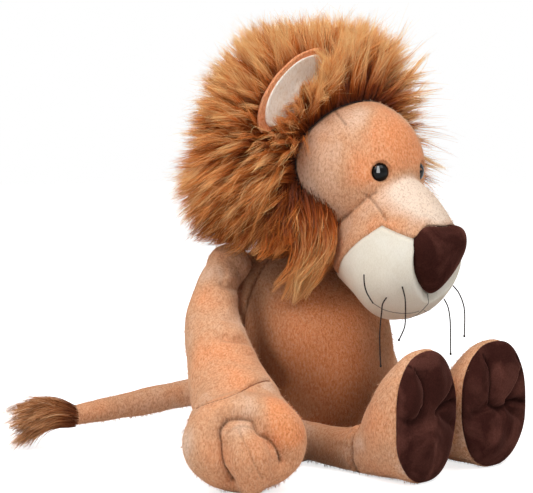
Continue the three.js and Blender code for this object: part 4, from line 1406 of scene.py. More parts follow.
# Each groove's route, width, depth and painted shade along it
SOLE_GROOVES = {
    "right": [
        (
            [(406, 365), (415, 369.5), (422.3, 377.7), (426, 388), (426.4, 402), (424, 411), (420, 418)],
            0.9, 1.6, 1.0
        ),
        ([(447, 359), (453, 371), (454.5, 383), (451.4, 395), (444, 405), (438.6, 413)], 2.0, 2.2, 0.7),
        ([(442, 409), (449.5, 402.5), (461, 398)], 1.7, 2.6, 0.9),
        ([(399, 418), (411, 423), (420, 419), (424, 411)], 2.2, 1.8, 0.7),
        ([(440, 412), (447, 419), (456, 425)], 2.6, 1.2, 0.2)
    ],
    "left": [
        ([(483, 354), (490.5, 366), (492.5, 380), (491.5, 396), (492, 404)], 1.0, 1.4, 1.0),
        ([(517, 355), (522, 366), (520.5, 380), (514.5, 393), (508, 401)], 2.0, 2.4, 0.7),
        ([(509, 402), (517, 400), (531, 402)], 1.8, 2.8, 0.9),
        ([(491, 405), (500, 409), (509, 404)], 2.2, 1.8, 0.7),
        ([(488, 405), (480, 412), (470, 416)], 2.6, 1.2, 0.25),
        ([(508, 407), (516, 414), (527, 420)], 2.6, 1.4, 0.25)
    ]
}
SOLE_LOBES = {
    "right": [(411, 394), (437, 378), (459, 384), (430, 440)],
    "left": [(475, 380), (505, 376), (527, 385), (495, 440)]
}
LEG_TINTS = [
    ([(378, 425)], 12, -0.2), ([(392, 392)], 12, 0.06), ([(352, 455), (362, 440)], 8, 0.12),
    ([(398, 462), (410, 476)], 8, 0.1)
]
# Painted shade on the leg between the hand and the foot
LEG_PAINTED_SHADE = [([(300, 455), (325, 455)], 24, 0.75)]
TOE_IN = {"right": 6.0, "left": 1.0}
ANKLE_HEIGHT = 18.0
ANKLE_GATHERS = 9
ANKLE_BACK = 1.0
SOLE_RIM_KEPT = 2.0
SOLE_RIM_FREE = 8.0

for suffix, side in SIDES:
    toe_in = TOE_IN[suffix]
    l_along, l_rise, l_thick = spread(LEG_SHARES, 40).T
    leg_rows = np.stack(
        [
            np.full(40, HIP[0]), HIP[1] - LEG_LENGTH * l_along, HIP[2] + LEG_RISE * l_rise,
            LEG_THICKNESS / 2 * l_thick
        ],
        axis=1
    )
    foot_rings = [foot_ring(*row) for row in spread(FOOT_SHARES, 60)]
    foot_rings.insert(0, foot_rings[0] + np.array([0, 8.0, 0]))
    forms = [loft(limb(leg_rows, 70)), ball(HIP, HIP_RADIUS, 50), loft(foot_rings)]
    forms = [(turned(points, toe_in, HIP), faces) for points, faces in forms]
    leg = fused("leg_" + suffix, forms, 1.2, 8)
    keep_off_floor(leg)
    lumps(leg, 34.0, 1.0, 16)
    lumps(leg, 14.0, 0.4, 17)
    # Gathers where the leg is sewn into the foot
    local = turned(places(leg), -toe_in, HIP)
    angle = np.arctan2(local[:, 0] - HIP[0], local[:, 2] - ANKLE_HEIGHT)
    ankle = np.exp(-(((local[:, 1] + ankle_forward - 4.0) / 13.0) ** 2))
    gathers = np.sin(angle * ANKLE_GATHERS + 4.0 * noise(local, 16.0, 5)) * ankle
    place(leg, places(leg) + normals(leg) * (gathers * 0.45)[:, None])
    keep_off_floor(leg)
    # Painted shade in the gathers' hollows
    paint_shade(leg, np.clip(-gathers, 0, 1) ** 2 * 0.12)
    # Sewn ankle and the seam over the foot
    local = turned(places(leg), -toe_in, HIP)
    # The ankle's groove, with painted shade along it
    carve(leg, crossing(leg, local[:, 1] + ankle_forward - ANKLE_BACK), 1.6, 1.6, 0.4, 0.5)
    if suffix == "right":
        leg_tree = tree_of(leg)
        brush(tint, leg, leg_tree, LEG_TINTS, 0.4)
        brush(paint_shade_round, leg, leg_tree, LEG_PAINTED_SHADE)
    local = turned(places(leg), -toe_in, HIP)
    foot = split(leg, local[:, 1] + ankle_forward - ANKLE_BACK, "foot_" + suffix)
    # Sole
    sole_back = ankle_forward + FOOT_DEPTH + 0.1
    rings = []
    for share in np.linspace(0.0, 1.0, 60):
        size = math.cos(share * math.pi / 2) ** 0.9 if share < 1 else 0.0
        size = max(size, 0.012)
        bulge = SOLE_BULGE * (1 - size**2.2)
        reach = sole_back + SOLE_THICKNESS * (1 - size**9) ** 0.5 + bulge + SOLE_GAP
        centre = [HIP[0], -reach, FOOT_TALL * 0.5]
        half_width = FOOT_WIDTH / 2 * 0.995 * size
        half_height = FOOT_TALL / 2 * 0.98 * size
        rings.append(ring(centre, ACROSS, UP, half_width, half_height, 150, FOOT_SQUARENESS))
    points, faces = loft([rings[0] - FORWARD * SOLE_EDGE, *rings])
    sole_form = for_side(side, (turned(points, toe_in, HIP), faces))
    sole = mesh_object("sole_" + suffix, *sole_form)
    sole_tree = tree_of(sole)
    lumps(sole, 24.0, 0.8, 19)
    flat = turned(places(sole) * sided(side), -toe_in, HIP)
    wide = np.abs(flat[:, 0] - HIP[0]) / (FOOT_WIDTH / 2)
    high = np.abs(flat[:, 2] - FOOT_TALL / 2) / (FOOT_TALL / 2)
    rim_share = (wide**FOOT_SQUARENESS + high**FOOT_SQUARENESS) ** (1 / FOOT_SQUARENESS)
    from_rim = (1 - rim_share) * FOOT_WIDTH / 2
    hold = smooth_step(from_rim, SOLE_RIM_KEPT, SOLE_RIM_FREE)
    bumps = np.concatenate([trace(sole_tree, [spot]) for spot in SOLE_LOBES[suffix]])
    grooves = []
    for pixels, width, depth, dark in SOLE_GROOVES[suffix]:
        route = trace(sole_tree, pixels)
        grooves.append((route, width, depth, dark))
        grooves.append((route, 4.6, 1.9, 0.12))
    carve_all(sole, grooves, 0.2, False, hold)
    swell(sole, bumps[:3], 9.0, 2.6, hold)
    swell(sole, bumps[3:], 20.0, 1.4, hold)
    if side < 0:
        mirror_piece(leg)
        mirror_piece(foot)
    piece(
        leg, "leg_" + suffix, tan_plush, ["leg_cover_" + suffix, "leg_filling_" + suffix],
    )
    piece(
        foot, "leg_" + suffix, tan_plush, ["foot_cover_" + suffix, "foot_filling_" + suffix],
    )
    piece(sole, "leg_" + suffix, brown_velvet, ["foot_sole_" + suffix])


# Tail

TAIL_ROOT = np.array([0.0, 51.0, 36.0])
TAIL_SHARES = [
    [0.0, 0.0, 0.0, 0.8], [0.08, 0.34, 0.1, 0.94], [0.28, 0.6, 0.38, 1.0], [0.55, 0.78, 0.66, 0.92],
    [0.8, 0.91, 0.86, 0.78], [1.0, 1.0, 1.0, 0.68]
]
TAIL_RIGHT = 118.0
TAIL_BACK = 62.0
TAIL_DROP = 15.0
TAIL_THICKNESS = 20.5
t_right, t_back, t_drop, t_thick = spread(TAIL_SHARES, 90).T
tail_rows = np.stack(
    [
        TAIL_ROOT[0] - TAIL_RIGHT * t_right, TAIL_ROOT[1] + TAIL_BACK * t_back,
        TAIL_ROOT[2] - TAIL_DROP * t_drop, TAIL_THICKNESS / 2 * t_thick
    ],
    axis=1
)
tail = mesh_object("tail", *loft(limb(tail_rows, 70, True, True)))
lumps(tail, 26.0, 0.8, 23)
lumps(tail, 11.0, 0.3, 24)
piece(tail, "tail", tan_plush, ["tail_cover", "tail_filling"])


# Long pile of mane and tuft

draw = np.random.default_rng(5)


def strands(name, lines, half_width, tone, look, body, replaced=(), facing=None):
    """Fine ribbons of hair. lines has a row of points for each hair; facing lays them flat."""
    count, steps = lines.shape[:2]
    tangents = unit(np.gradient(lines, axis=1))
    toward = unit(draw.normal(size=(count, 1, 3)))
    if facing is not None:
        toward = facing[:, None, :] + 0.3 * toward
    across = unit(np.cross(tangents, toward))
    share = np.linspace(0, 1, steps)
    profile = np.clip(1.0 - share**3.2, 0.14, 1) * (0.75 + 0.25 * smooth_step(share, 0, 0.15))
    half = half_width[:, None, None] * profile[None, :, None]
    points = np.stack([lines - across * half, lines + across * half], axis=2)
    start = (np.arange(count) * steps * 2)[:, None] + np.arange(steps - 1) * 2
    faces = np.stack([start, start + 1, start + 3, start + 2], axis=-1).reshape(-1, 4)
    mesh = bpy.data.meshes.new(name)
    flat = points.reshape(-1, 3) * MM
    mesh.vertices.add(len(flat))
    mesh.vertices.foreach_set("co", flat.astype(np.float32).ravel())
    mesh.loops.add(faces.size)
    mesh.loops.foreach_set("vertex_index", faces.astype(np.int32).ravel())
    mesh.polygons.add(len(faces))
    mesh.polygons.foreach_set("loop_start", np.arange(0, faces.size, 4, dtype=np.int32))
    mesh.update(calc_edges=True)
    mesh.validate()
    shade_smooth(mesh)
    obj = new_object(name, mesh)
    along = np.broadcast_to(share[None, :, None], (count, steps, 2)).reshape(-1)
    tones = np.broadcast_to(tone[:, None, None], (count, steps, 2)).reshape(-1)
    set_values(obj, "along", along)
    set_values(obj, "tone", tones)
    layer = mesh.uv_layers.new(name="OFBake")
    sideways = np.broadcast_to(np.array([-0.004, 0.004]), (count, steps, 2)).reshape(-1)
    u = np.clip(0.01 + 0.98 * tones + sideways, 0, 1)
    v = 0.01 + 0.98 * along
    index = faces.ravel()
    layer.data.foreach_set("uv", np.stack([u[index], v[index]], axis=1).astype(np.float32).ravel())
    return piece(obj, body, look, replaced)


def mane_hair(name, lines, half_width, tone):
    strands(name, lines, half_width, tone, mane_pile, "head")


# Pile's outer shape, which sets how long each hair grows
MANE_SHARES = [
    [-0.06, 0.5, 0.58, 0.05], [0.0, 0.64, 0.71, 0.1], [0.07, 0.8, 0.82, 0.3], [0.16, 0.93, 0.93, 0.43],
    [0.27, 1.0, 1.0, 0.6], [0.41, 0.98, 0.98, 0.8], [0.55, 0.95, 0.94, 0.93], [0.73, 0.88, 0.85, 1.0],
    [0.86, 0.7, 0.66, 0.83], [0.93, 0.51, 0.48, 0.63], [0.975, 0.32, 0.3, 0.6]
]
mane_form = loft(
    [
        ring([0, -30 * forward, 150 + 160 * height], ACROSS, FORWARD, 100 * width, 93 * depth, 90)
        for height, width, depth, forward in spread(MANE_SHARES, 60)
    ]
)
mane_tree = BVHTree.FromPolygons(mane_form[0].tolist(), mane_form[1])


def skin_points(count):
    """Places and normals spread over the mane's skin."""
    faces = mane_skin.data.polygons
    areas = gathered(faces, "area", 1)
    centres = gathered(faces, "center").astype(float) / MM
    facing = gathered(faces, "normal").astype(float)
    low = np.hypot(centres[:, 0], centres[:, 1] + 4) < 30
    weight = areas * np.where(low & (centres[:, 2] < 180), 0.0, 1.0)
    # Thicker near the face and on the crown
    front = smooth_step(-centres[:, 1], 20, 62)
    weight = weight * (1 + 0.5 * front)
    pick = draw.choice(len(areas), size=count, p=weight / weight.sum())
    jitter = draw.normal(size=(count, 3)) * 0.55
    return centres[pick] + jitter, unit(facing[pick])


def ear_place(points, side):
    away = points * sided(side) - EAR_BASE
    return away @ ear_along, away @ ear_out, away @ ear_facing


VIEW = np.array([-0.706, -0.706, 0.066])
EAR_LEAN = (VIEW @ ear_out) / (VIEW @ ear_facing)
EAR_SHIFT = -(VIEW @ ear_along) / (VIEW @ ear_facing)
EAR_EDGES = {1.0: (2.5, 0.1), -1.0: (6.5, 0.22)}


def ear_edge(u, w, side):
    """How far out the hair comes over an ear's lining; that of the near one leans to the view."""
    start, slope = EAR_EDGES[side]
    return start + slope * u + (EAR_LEAN * np.clip(w, 0, 30) if side > 0 else 0.0)


def brow_share(roots):
    """How much hair belongs to the crown's front, from nought to one."""
    front = smooth_step(-roots[:, 1], 28, 52) * smooth_step(roots[:, 2], 205, 235)
    return front * smooth_step(roots[:, 0], -20, 20)


def mane_direction(roots, facing):
    out = unit((roots - SEAM_MIDDLE) * np.array([1, 0, 1]))
    back = smooth_step(roots[:, 1], -62, -10)[:, None]
    low = smooth_step(200 - roots[:, 2], 0, 45)[:, None]
    heading = facing * (0.55 + 0.45 * back) + out * (0.75 - 0.45 * back)
    heading = heading - FORWARD * 0.10 * (1 - back)
    heading = heading + drift(roots, 38.0, 40) * 0.42
    heading = heading - UP * 0.30 * low
    # The crown's front is brushed forwards and to the far side
    heading = heading + (FORWARD * 0.42 + ACROSS * 0.22) * brow_share(roots)[:, None]
    # Hair behind an ear lies back, and hair before it is swept up to the crown
    for side, share in ((1.0, 1.0), (-1.0, 0.25)):
        u, v, w = ear_place(roots, side)
        near = share * np.exp(-((u / 36) ** 2) - ((v + 4) / 22) ** 2)[:, None]
        near = near * smooth_step(u, -34, -8)[:, None]
        heading = heading - FORWARD * 0.5 * near * (w[:, None] < 1.5)
        sweep = ear_along * sided(side)
        heading = heading + (sweep * 0.35 + FORWARD * 0.1) * near * (w[:, None] >= 1.5)
    return unit(heading)


SHORTEST = 14
LONGEST = 74
CROWN_MORE = 30


def mane_reach(roots, heading):
    out = np.empty(len(roots))
    for i, (a, d) in enumerate(zip(roots, heading)):
        hit = mane_tree.ray_cast(Vector(a), Vector(d))
        out[i] = hit[3] if hit[0] is not None else 20.0
    return np.clip(out, SHORTEST + CROWN_MORE * brow_share(roots), LONGEST)


def hair_lines(roots, heading, reach, curl, droop, steps):
    """Bent and waved lines from the roots."""
    count = len(roots)
    t = np.linspace(0, 1, steps)[None, :, None]
    sideways = unit(np.cross(heading, draw.normal(size=(count, 3))))
    other = np.cross(heading, sideways)
    bend = draw.normal(size=(count, 1)) * 0.16
    lines = roots[:, None, :] + heading[:, None, :] * (reach[:, None, None] * t)
    lines = lines + sideways[:, None, :] * (bend * reach[:, None])[:, None, :] * t**2
    turns = draw.uniform(0.5, 1.3, size=(count, 1, 1)) * 2 * math.pi
    phase = draw.uniform(0, 2 * math.pi, size=(count, 1, 1))
    wave = curl[:, None, None] * t
    lines = lines + sideways[:, None, :] * wave * np.sin(turns * t + phase)
    lines = lines + other[:, None, :] * wave * np.cos(turns * t + phase) * 0.7
    lines = lines - UP * (droop * reach)[:, None, None] * t**2
    return lines


FACE_CLEAR = 3.5
CROWN_TOP = 309.0
CROWN_PRESS = 0.48
SHOULDER_PLACE = np.array([-51.0, 15.0, 130.0])
SHOULDER_CLEAR = 20.0
GUIDES = 2800
HAIRS = 84000
STEPS = 7

guide_roots, guide_normals = skin_points(GUIDES)
guide_heading = mane_direction(guide_roots, guide_normals)
guide_heading = unit(guide_heading + draw.normal(size=guide_heading.shape) * 0.12)
guide_reach = mane_reach(guide_roots, guide_heading) * draw.uniform(0.92, 1.13, GUIDES)
guide_low = smooth_step(205 - guide_roots[:, 2], 0, 40)
guide_side = np.abs(guide_heading @ UP)
guide_droop = 0.05 + 0.16 * (1 - guide_side) + 0.16 * guide_low
guide_curl = 1.2 + 3.4 * guide_low * draw.uniform(0.3, 1.0, GUIDES)
for _, side in SIDES:
    u, v, w = ear_place(guide_roots, side)
    rise = (guide_heading * sided(side)) @ ear_out
    edge = ear_edge(u, w + 8, side) + draw.uniform(-2.0, 4.0, GUIDES)
    to_edge = np.clip((edge - v) / np.maximum(rise, 0.2), 18.0, 60.0)
    before = (w > 0.5) & (w < 34) & (u > -34) & (u < 26) & (v < edge) & (v > -40)
    guide_reach = np.where(before, np.minimum(guide_reach, to_edge), guide_reach)
guides = hair_lines(guide_roots, guide_heading, guide_reach, guide_curl, guide_droop, STEPS)
# Tones differ at random from lock to lock; crown hair is made paler as a painted highlight from above,
# and low hair, except at the front, darker as painted shade
guide_tone_and_light = 0.53 + 0.28 * draw.normal(size=GUIDES) + 0.40 * smooth_step(guide_roots[:, 2], 205, 245)
guide_tone_and_light = np.clip(guide_tone_and_light - 0.52 * guide_low * (guide_roots[:, 1] > -58), 0.05, 0.95)

guide_tree = point_tree(guide_roots)

roots, _ = skin_points(HAIRS)
own = np.empty(HAIRS, int)
for i, q in enumerate(roots):
    found = guide_tree.find_n(Vector(q), 3)
    own[i] = found[min(int(draw.exponential(0.55)), 2)][1]
stray = draw.random(HAIRS) < 0.15
under = draw.random(HAIRS) < 0.22
scale = draw.uniform(0.87, 1.05, HAIRS)
scale = np.where(under, draw.uniform(0.45, 0.8, HAIRS), scale)
scale = np.where(stray, draw.uniform(0.85, 1.14, HAIRS), scale)
t = np.linspace(0, 1, STEPS)[None, :, None]
shape = guides[own] - guide_roots[own][:, None, :]
lines = roots[:, None, :] + shape * scale[:, None, None]
pull = np.where(stray, 0.2, draw.uniform(0.45, 0.88, HAIRS))[:, None, None]
target = guide_roots[own][:, None, :] + shape * scale[:, None, None]
lines = lines + (target - lines) * pull * smooth_step(t, 0.05, 0.95)
frizz = np.where(stray, 4.2, 1.15)[:, None, None]
wander = draw.normal(size=(HAIRS, 1, 3)) * frizz
wobble = draw.normal(size=(HAIRS, 1, 3)) * frizz * 0.45
lines = lines + wander * t**1.5 + wobble * np.sin(t * math.pi * 2.2)
brighter = stray * np.where(roots[:, 2] < 215, 0.4, 0.2)
tone = guide_tone_and_light[own] + 0.19 * draw.normal(size=HAIRS) - 0.25 * under + brighter
tone = np.clip(tone, 0.02, 0.98)
half_width = draw.uniform(0.13, 0.27, HAIRS) * np.where(stray, 0.7, 1.0)


def clear_of_ears(lines):
    keep = np.ones(len(lines), bool)
    for side, deep in ((1.0, 34.0), (-1.0, 9.0)):
        u, v, w = ear_place(lines.reshape(-1, 3), side)
        if side > 0:
            u = u + EAR_SHIFT * np.clip(w, 0, 30)
            v = v - EAR_LEAN * np.clip(w, 0, 30)
        rim = np.clip(1 - (u / EAR_HALF_LENGTH) ** 2, 0, 1) ** 0.5 * EAR_HEIGHT
        lift = EAR_CUP * np.clip(v / EAR_HEIGHT, 0, 1)
        window = (v > ear_edge(u, 0.0, side)) & (u < 24.0) & (v < rim + 1.0)
        window &= (w > -2.5 + lift * 0.8) & (w < deep)
        keep &= ~window.reshape(lines.shape[:2]).any(axis=1)
    return keep


over = np.maximum(lines[:, :, 2] - CROWN_TOP, 0)
lines[:, :, 2] -= over * (1 - CROWN_PRESS)
keep = clear_of_ears(lines)
# Hair near the neck lies down over the shoulders and the chest
low_front = smooth_step(-lines[:, -1:, 1], -25, 10)
floor_height = 146.0 - 8.0 * low_front + draw.uniform(0, 8, (len(lines), 1))
below = np.maximum(floor_height - lines[:, :, 2], 0)
lines[:, :, 2] += below * 0.97
for _, side in SIDES:
    middle = SHOULDER_PLACE * sided(side)
    away = lines - middle
    far = np.linalg.norm(away, axis=2, keepdims=True)
    lines = np.where(far < SHOULDER_CLEAR, middle + away * SHOULDER_CLEAR / far, lines)
# and stays off the face
before_face = seam_field(lines.reshape(-1, 3)).reshape(lines.shape[:2]) > 0.05
head_skin = tree_of(head)
for i, k in zip(*np.nonzero(before_face)):
    if keep[i] and head_skin.find_nearest(Vector(lines[i, k]), FACE_CLEAR)[0] is not None:
        keep[i] = False
lines = lines[keep]
tone = tone[keep]
half_width = half_width[keep]
roots = roots[keep]

region = np.where(roots[:, 2] > 236, 0, np.where(roots[:, 1] > 2, 1, np.where(roots[:, 0] < 0, 2, 3)))
for number, region_name in enumerate(("crown", "back", "right", "left")):
    chosen = region == number
    mane_hair("mane_pile_" + region_name, lines[chosen], half_width[chosen], tone[chosen])

# Thin drooping wisps beside the face
WISPS = 700
WISP_CLUMPS = 60
# This draw goes unused; it keeps every later draw in its place in the sequence
draw.uniform(52, 128, WISPS)
wisp_group = draw.integers(0, WISP_CLUMPS, WISPS)
wisp_angle = np.radians(draw.uniform(50, 130, WISP_CLUMPS))[wisp_group]
wisp_angle = wisp_angle + draw.normal(size=WISPS) * 0.03
wisp_out = np.stack([np.sin(wisp_angle), np.zeros(WISPS), np.cos(wisp_angle)], axis=1)
wisp_roots = SEAM_MIDDLE + wisp_out * np.array([44.0, 0, 42.0])
wisp_roots[:, 1] = SEAM_BOW * wisp_out[:, 0] ** 2 - SEAM_FORWARD + draw.uniform(3, 12, WISPS)
wisp_forward = draw.uniform(0.05, 0.5, (WISP_CLUMPS, 1))[wisp_group]
wisp_heading = unit(wisp_out + FORWARD * wisp_forward + UP * 0.1)
wisp_reach = draw.uniform(52, 80, WISP_CLUMPS)[wisp_group]
wisp_reach = wisp_reach * draw.uniform(0.75, 1.05, WISPS)
wisp_lines = hair_lines(
    wisp_roots, wisp_heading, wisp_reach, draw.uniform(0.5, 2.5, WISPS),
    draw.uniform(0.12, 0.42, WISP_CLUMPS)[wisp_group], 9
)
wisp_lines = wisp_lines[clear_of_ears(wisp_lines)]
wisp_width = draw.uniform(0.12, 0.22, len(wisp_lines))
wisp_tone = np.clip(0.74 + 0.15 * draw.normal(size=len(wisp_lines)), 0.05, 0.98)
mane_hair("mane_wisps", wisp_lines, wisp_width, wisp_tone)

# Locks under the cheeks, lying down over the chest
LOCK_ROUTES = [
    [
        [-40, -61, 178], [-45, -71, 164], [-47, -73, 152], [-47, -68, 140], [-46, -59, 130],
        [-44, -49, 120], [-45, -43, 112]
    ],
    [
        [-46, -56, 178], [-51, -65, 163], [-53, -66, 151], [-53, -60, 139], [-52, -52, 129],
        [-49, -45, 119], [-48, -40, 112]
    ],
    [[-54, -46, 180], [-61, -51, 164], [-64, -48, 153], [-66, -42, 146], [-67, -36, 141]],
    [[-36, -58, 174], [-39, -66, 160], [-40, -66, 147], [-39, -60, 136], [-38, -53, 128]]
]
LOCK_HAIRS = [800, 900, 700, 300]
LOCK_SPREADS = [3.4, 4.2, 6.0, 3.4]
# The first two locks are made pale as a painted highlight; the others keep a middle tone
LOCK_TONES_AND_HIGHLIGHT = [0.95, 0.88, 0.6, 0.55]
LOCK_CLUMPS = 16
lock_lines = []
lock_tones = []
for route, number, spread_out, own_tone in zip(LOCK_ROUTES, LOCK_HAIRS, LOCK_SPREADS, LOCK_TONES_AND_HIGHLIGHT):
    path = spread(route, 13)
    off = draw.normal(size=(number, 1, 3)) * spread_out * 0.6
    t = np.linspace(0, 1, 13)[None, :, None]
    width = 1.0 - 0.45 * smooth_step(t, 0.1, 1.0)
    group = draw.integers(0, LOCK_CLUMPS, number)
    root_way = draw.normal(size=(LOCK_CLUMPS, 1, 3))[group] * spread_out * 0.9
    tip_way = draw.normal(size=(LOCK_CLUMPS, 1, 3))[group] * spread_out * 0.9
    bow = draw.normal(size=(LOCK_CLUMPS, 1, 3))[group] * 2.2
    length = draw.uniform(0.62, 1.0, (LOCK_CLUMPS, 1, 1))[group]
    length = length * draw.uniform(0.85, 1.05, (number, 1, 1))
    at = np.clip(t * length, 0, 1)[..., 0] * 12
    k = np.minimum(at.astype(int), 11)
    f = (at - k)[..., None]
    base = path[k] * (1 - f) + path[k + 1] * f
    made = base + off * width * (1 - 0.6 * smooth_step(t, 0.5, 1.0))
    made = made + root_way * (1 - t) + tip_way * t + bow * np.sin(t * math.pi)
    made = made + draw.normal(size=(number, 1, 3)) * 0.8 * np.sin(t * 6.0)
    lock_lines.append(made)
    group_tone = draw.normal(size=LOCK_CLUMPS)[group] * 0.1
    own_tones = own_tone + group_tone + 0.1 * draw.normal(size=number)
    lock_tones.append(np.clip(own_tones, 0.03, 0.98))
lock_lines = np.concatenate(lock_lines)
lock_tone = np.concatenate(lock_tones)


def clear_of_torso(lines):
    """Keeps hair just off the chest."""
    flat = lines.reshape(-1, 3).copy()
    for i, q in enumerate(flat):
        near, facing, _, _ = torso_tree.find_nearest(Vector(q))
        away = Vector(q) - near
        if away.dot(facing) < 2.0:
            flat[i] = np.array(near) + np.array(facing) * 2.2
    return flat.reshape(lines.shape)


lock_lines = clear_of_torso(lock_lines)
for suffix, side in SIDES:
    lock_width = draw.uniform(0.17, 0.32, len(lock_lines))
    mane_hair("mane_lock_" + suffix, lock_lines * sided(side), lock_width, lock_tone)

# Tuft on the tail
tail_end = tail_rows[-1, :3]
tuft_heading = unit((tail_end - tail_rows[-6, :3]) * np.array([1, 1, 0]))
tuft_across = np.cross(tuft_heading, UP)


def round_tail(angle):
    return np.cos(angle)[:, None] * tuft_across + np.sin(angle)[:, None] * UP


TUFT_HAIRS = 4600
TUFT_CLUMPS = 46
TUFT_RADIUS = 8.0
clump_angle = draw.uniform(0, 2 * math.pi, TUFT_CLUMPS)
clump_far = np.sqrt(draw.random(TUFT_CLUMPS))
clump_reach = draw.uniform(30, 47, TUFT_CLUMPS)
clump_bend = draw.normal(size=(TUFT_CLUMPS, 3)) * 2.4
clump_droop = draw.uniform(-2.0, 9.0, TUFT_CLUMPS)
group = draw.integers(0, TUFT_CLUMPS, TUFT_HAIRS)
angle = clump_angle[group] + draw.normal(size=TUFT_HAIRS) * 0.35
radius = np.clip(clump_far[group] + draw.normal(size=TUFT_HAIRS) * 0.16, 0.02, 1.0) * TUFT_RADIUS
start = draw.uniform(-5, 1.0, TUFT_HAIRS) * (radius / TUFT_RADIUS) ** 2
ring_way = round_tail(angle)
clump_way = round_tail(clump_angle) * clump_far[:, None]
tuft_roots = tail_end + ring_way * radius[:, None] + tuft_heading * start[:, None]
t = np.linspace(0, 1, 9)[None, :, None]
reach = (clump_reach[group] * draw.uniform(0.72, 1.06, TUFT_HAIRS))[:, None, None]
clump_line = tail_end + clump_way[group] * TUFT_RADIUS
clump_turn = clump_bend[group][:, None, :] * t**2
meet = clump_line[:, None, :] + clump_way[group][:, None, :] * 10.0 * t + clump_turn
own_line = tuft_roots[:, None, :] + (ring_way * radius[:, None])[:, None, :] * 0.8 * t
pull = 0.75 * smooth_step(t, 0.15, 1.0)
tuft_lines = own_line * (1 - pull) + meet * pull + tuft_heading * reach * t
tuft_lines = tuft_lines + UP * (5.0 * np.sin(t * 2.2) - clump_droop[group][:, None, None] * t**2.4)
tuft_lines = tuft_lines + draw.normal(size=(TUFT_HAIRS, 1, 3)) * 0.9 * t**1.5
tuft_lines[..., 2] = np.maximum(tuft_lines[..., 2], 0.6)
strands(
    "tail_tuft_pile", tuft_lines, draw.uniform(0.16, 0.3, TUFT_HAIRS),
    np.clip(0.5 + 0.22 * draw.normal(size=TUFT_HAIRS), 0.02, 0.98), tuft_pile, "tail",
    ["tail_tuft"]
)


# Short nap, which softens every edge of the plush

NAP_PER_AREA = 0.34
NAP_CLASSES = 12


def nap_on(name, parts, body):
    """Short hairs spread evenly over some plush pieces."""
    lines = []
    ways = []
    tones = []
    marks = []
    for part in parts:
        faces = part.data.polygons
        areas = gathered(faces, "area", 1)
        centres = gathered(faces, "center").astype(float) / MM
        facing = gathered(faces, "normal").astype(float)
        starts = gathered(faces, "loop_start", 1, np.int32)
        corners = gathered(part.data.loops, "vertex_index", 1, np.int32)
        count = int(areas.sum() / MM**2 * NAP_PER_AREA)
        chance = areas / areas.sum()
        pick = draw.choice(len(faces), size=count, p=chance / chance.sum())
        roots = centres[pick] + draw.normal(size=(count, 3)) * 0.4 - facing[pick] * 0.3
        brushed = drift(roots, 45.0, 60) - UP * 0.8
        heading = unit(facing[pick] * 0.6 + brushed * 0.6 + draw.normal(size=(count, 3)) * 0.25)
        reach = draw.uniform(1.3, 2.3, (count, 1))
        middle = roots + heading * reach * 0.55
        tip = roots + heading * reach - UP * 0.3
        made = np.stack([roots, middle, tip], axis=1)
        made[..., 2] = np.maximum(made[..., 2], 0.2)
        own = corners[starts[pick]]
        lines.append(made)
        ways.append(facing[pick])
        tones.append(np.clip(0.5 + 0.24 * draw.normal(size=count), 0, 1))
        marks.append([values(part, "tint")[own], values(part, "crease")[own]])
    lines = np.concatenate(lines)
    tones = np.concatenate(tones)
    tints, creases = np.concatenate(marks, axis=1)
    width = draw.uniform(0.09, 0.16, len(lines))
    obj = strands(name, lines, width, tones, tan_nap, body, facing=np.concatenate(ways))
    # Tints and painted shade, as on the plush beneath
    set_values(obj, "tint", np.repeat(tints, 6))
    set_values(obj, "crease", np.repeat(creases, 6))
    # Hairs of one colour share a column of the OFBake map
    column = np.floor((np.clip(tints, -0.99, 0.99) + 1) / 2 * NAP_CLASSES)
    row = np.floor(np.clip(creases, 0, 0.99) * NAP_CLASSES)
    u = (column + 0.25 + 0.5 * tones) / NAP_CLASSES
    v = (row + 0.5) / NAP_CLASSES
    uv = np.stack([np.repeat(u, 8), np.repeat(v, 8)], axis=1)
    uv[::2] += 0.004
    obj.data.uv_layers["OFBake"].data.foreach_set("uv", uv.astype(np.float32).ravel())


skins = bpy.data.objects
nap_on("nap_torso", [torso], "torso")
nap_on("nap_head", [head, muzzle, skins["ear_right_outer"], skins["ear_left_outer"]], "head")
for suffix, _ in SIDES:
    for limb_name, end_name in (("arm_", "hand_"), ("leg_", "foot_")):
        body = limb_name + suffix
        nap_on("nap_" + body, [skins[body], skins[end_name + suffix]], body)
nap_on("nap_tail", [tail], "tail")


# Floor, lamps and world


def seen_apart(tree, lights, shown, output):
    """One shader that lights the object, and another where the camera or a gloss sees it."""
    rays = node(tree, "ShaderNodeLightPath").outputs
    seen = sums(tree, "ADD", rays["Is Camera Ray"], rays["Is Transmission Ray"], True)
    seen = sums(tree, "ADD", seen, rays["Is Glossy Ray"], True)
    pick = node(tree, "ShaderNodeMixShader", {0: seen, 1: lights.outputs[0], 2: shown.outputs[0]})
    tree.links.new(pick.outputs[0], tree.nodes[output].inputs["Surface"])


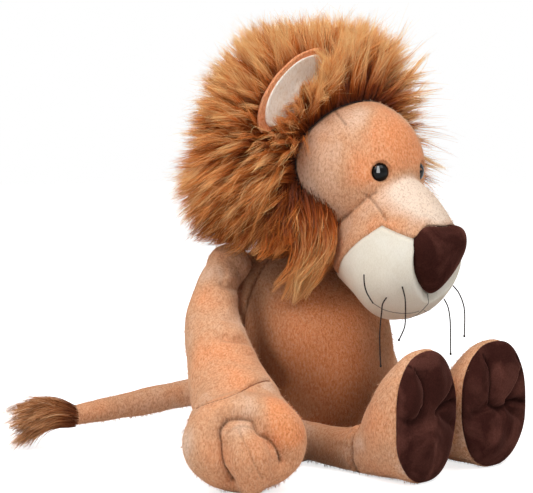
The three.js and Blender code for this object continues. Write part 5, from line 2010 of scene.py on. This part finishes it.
FLOOR_REACH = 6000
floor_corners = [(-1, -1, 0), (1, -1, 0), (1, 1, 0), (-1, 1, 0)]
floor = mesh_object("floor", np.array(floor_corners) * FLOOR_REACH, [[0, 1, 2, 3]])
floor_look, floor_tree = new_material("floor_look")
finished(floor_look, {"Base Color": (0.72, 0.72, 0.72, 1), "Roughness": 1.0, "Specular IOR Level": 0.0})
floor_far = node(
    floor_tree, "ShaderNodeVectorMath", {0: object_places(floor_tree)}, operation="LENGTH"
).outputs["Value"]
floor_glow = ranged(floor_tree, floor_far, 0.3, 0.9, 0.78, 1.0)
glow = node(floor_tree, "ShaderNodeEmission", {"Color": (1, 1, 1, 1), "Strength": floor_glow})
soft = node(floor_tree, "ShaderNodeBsdfDiffuse", {"Color": (0.68, 0.68, 0.68, 1)})
both = node(floor_tree, "ShaderNodeAddShader", {0: soft.outputs[0], 1: glow.outputs[0]})
seen_apart(floor_tree, floor_tree.nodes["Principled BSDF"], both, "Material Output")
floor.data.materials.append(floor_look)

world = bpy.data.worlds.new("world")
bpy.context.scene.world = world
world.use_nodes = True
world_tree = world.node_tree
background = world_tree.nodes["Background"]
background.inputs["Color"].default_value = (1, 1, 1, 1)
background.inputs["Strength"].default_value = 0.27
white = node(world_tree, "ShaderNodeBackground", {"Color": (1, 1, 1, 1), "Strength": 1.0})
seen_apart(world_tree, background, white, "World Output")

LAMP_TARGET = Vector((0, 0, 0.15))


def lamp(name, azimuth, elevation, distance, width, tall, watts):
    """A soft box that looks at the object's middle; the angles are in degrees."""
    way = Vector(way_to(math.radians(azimuth), math.radians(elevation)))
    data = bpy.data.lights.new(name, "AREA")
    data.shape = "RECTANGLE"
    data.size = width
    data.size_y = tall
    data.energy = watts
    obj = new_object(name, data)
    obj.location = LAMP_TARGET + way * distance
    obj.rotation_euler = way.to_track_quat("Z", "Y").to_euler()
    return obj


lamp("key", -76, 50, 1.7, 0.8, 1.2, 20)
lamp("front", 2, 46, 1.9, 0.9, 0.9, 13.5)
lamp("rim", -150, 45, 1.9, 0.8, 0.8, 7)
# A tall strip that lights no cloth: it shows only in glossy parts, such as the eyes
strip = lamp("strip", -37, 4, 1.6, 0.85, 5.0, 460)
strip.visible_diffuse = False

bpy.context.scene.view_settings.view_transform = "Standard"
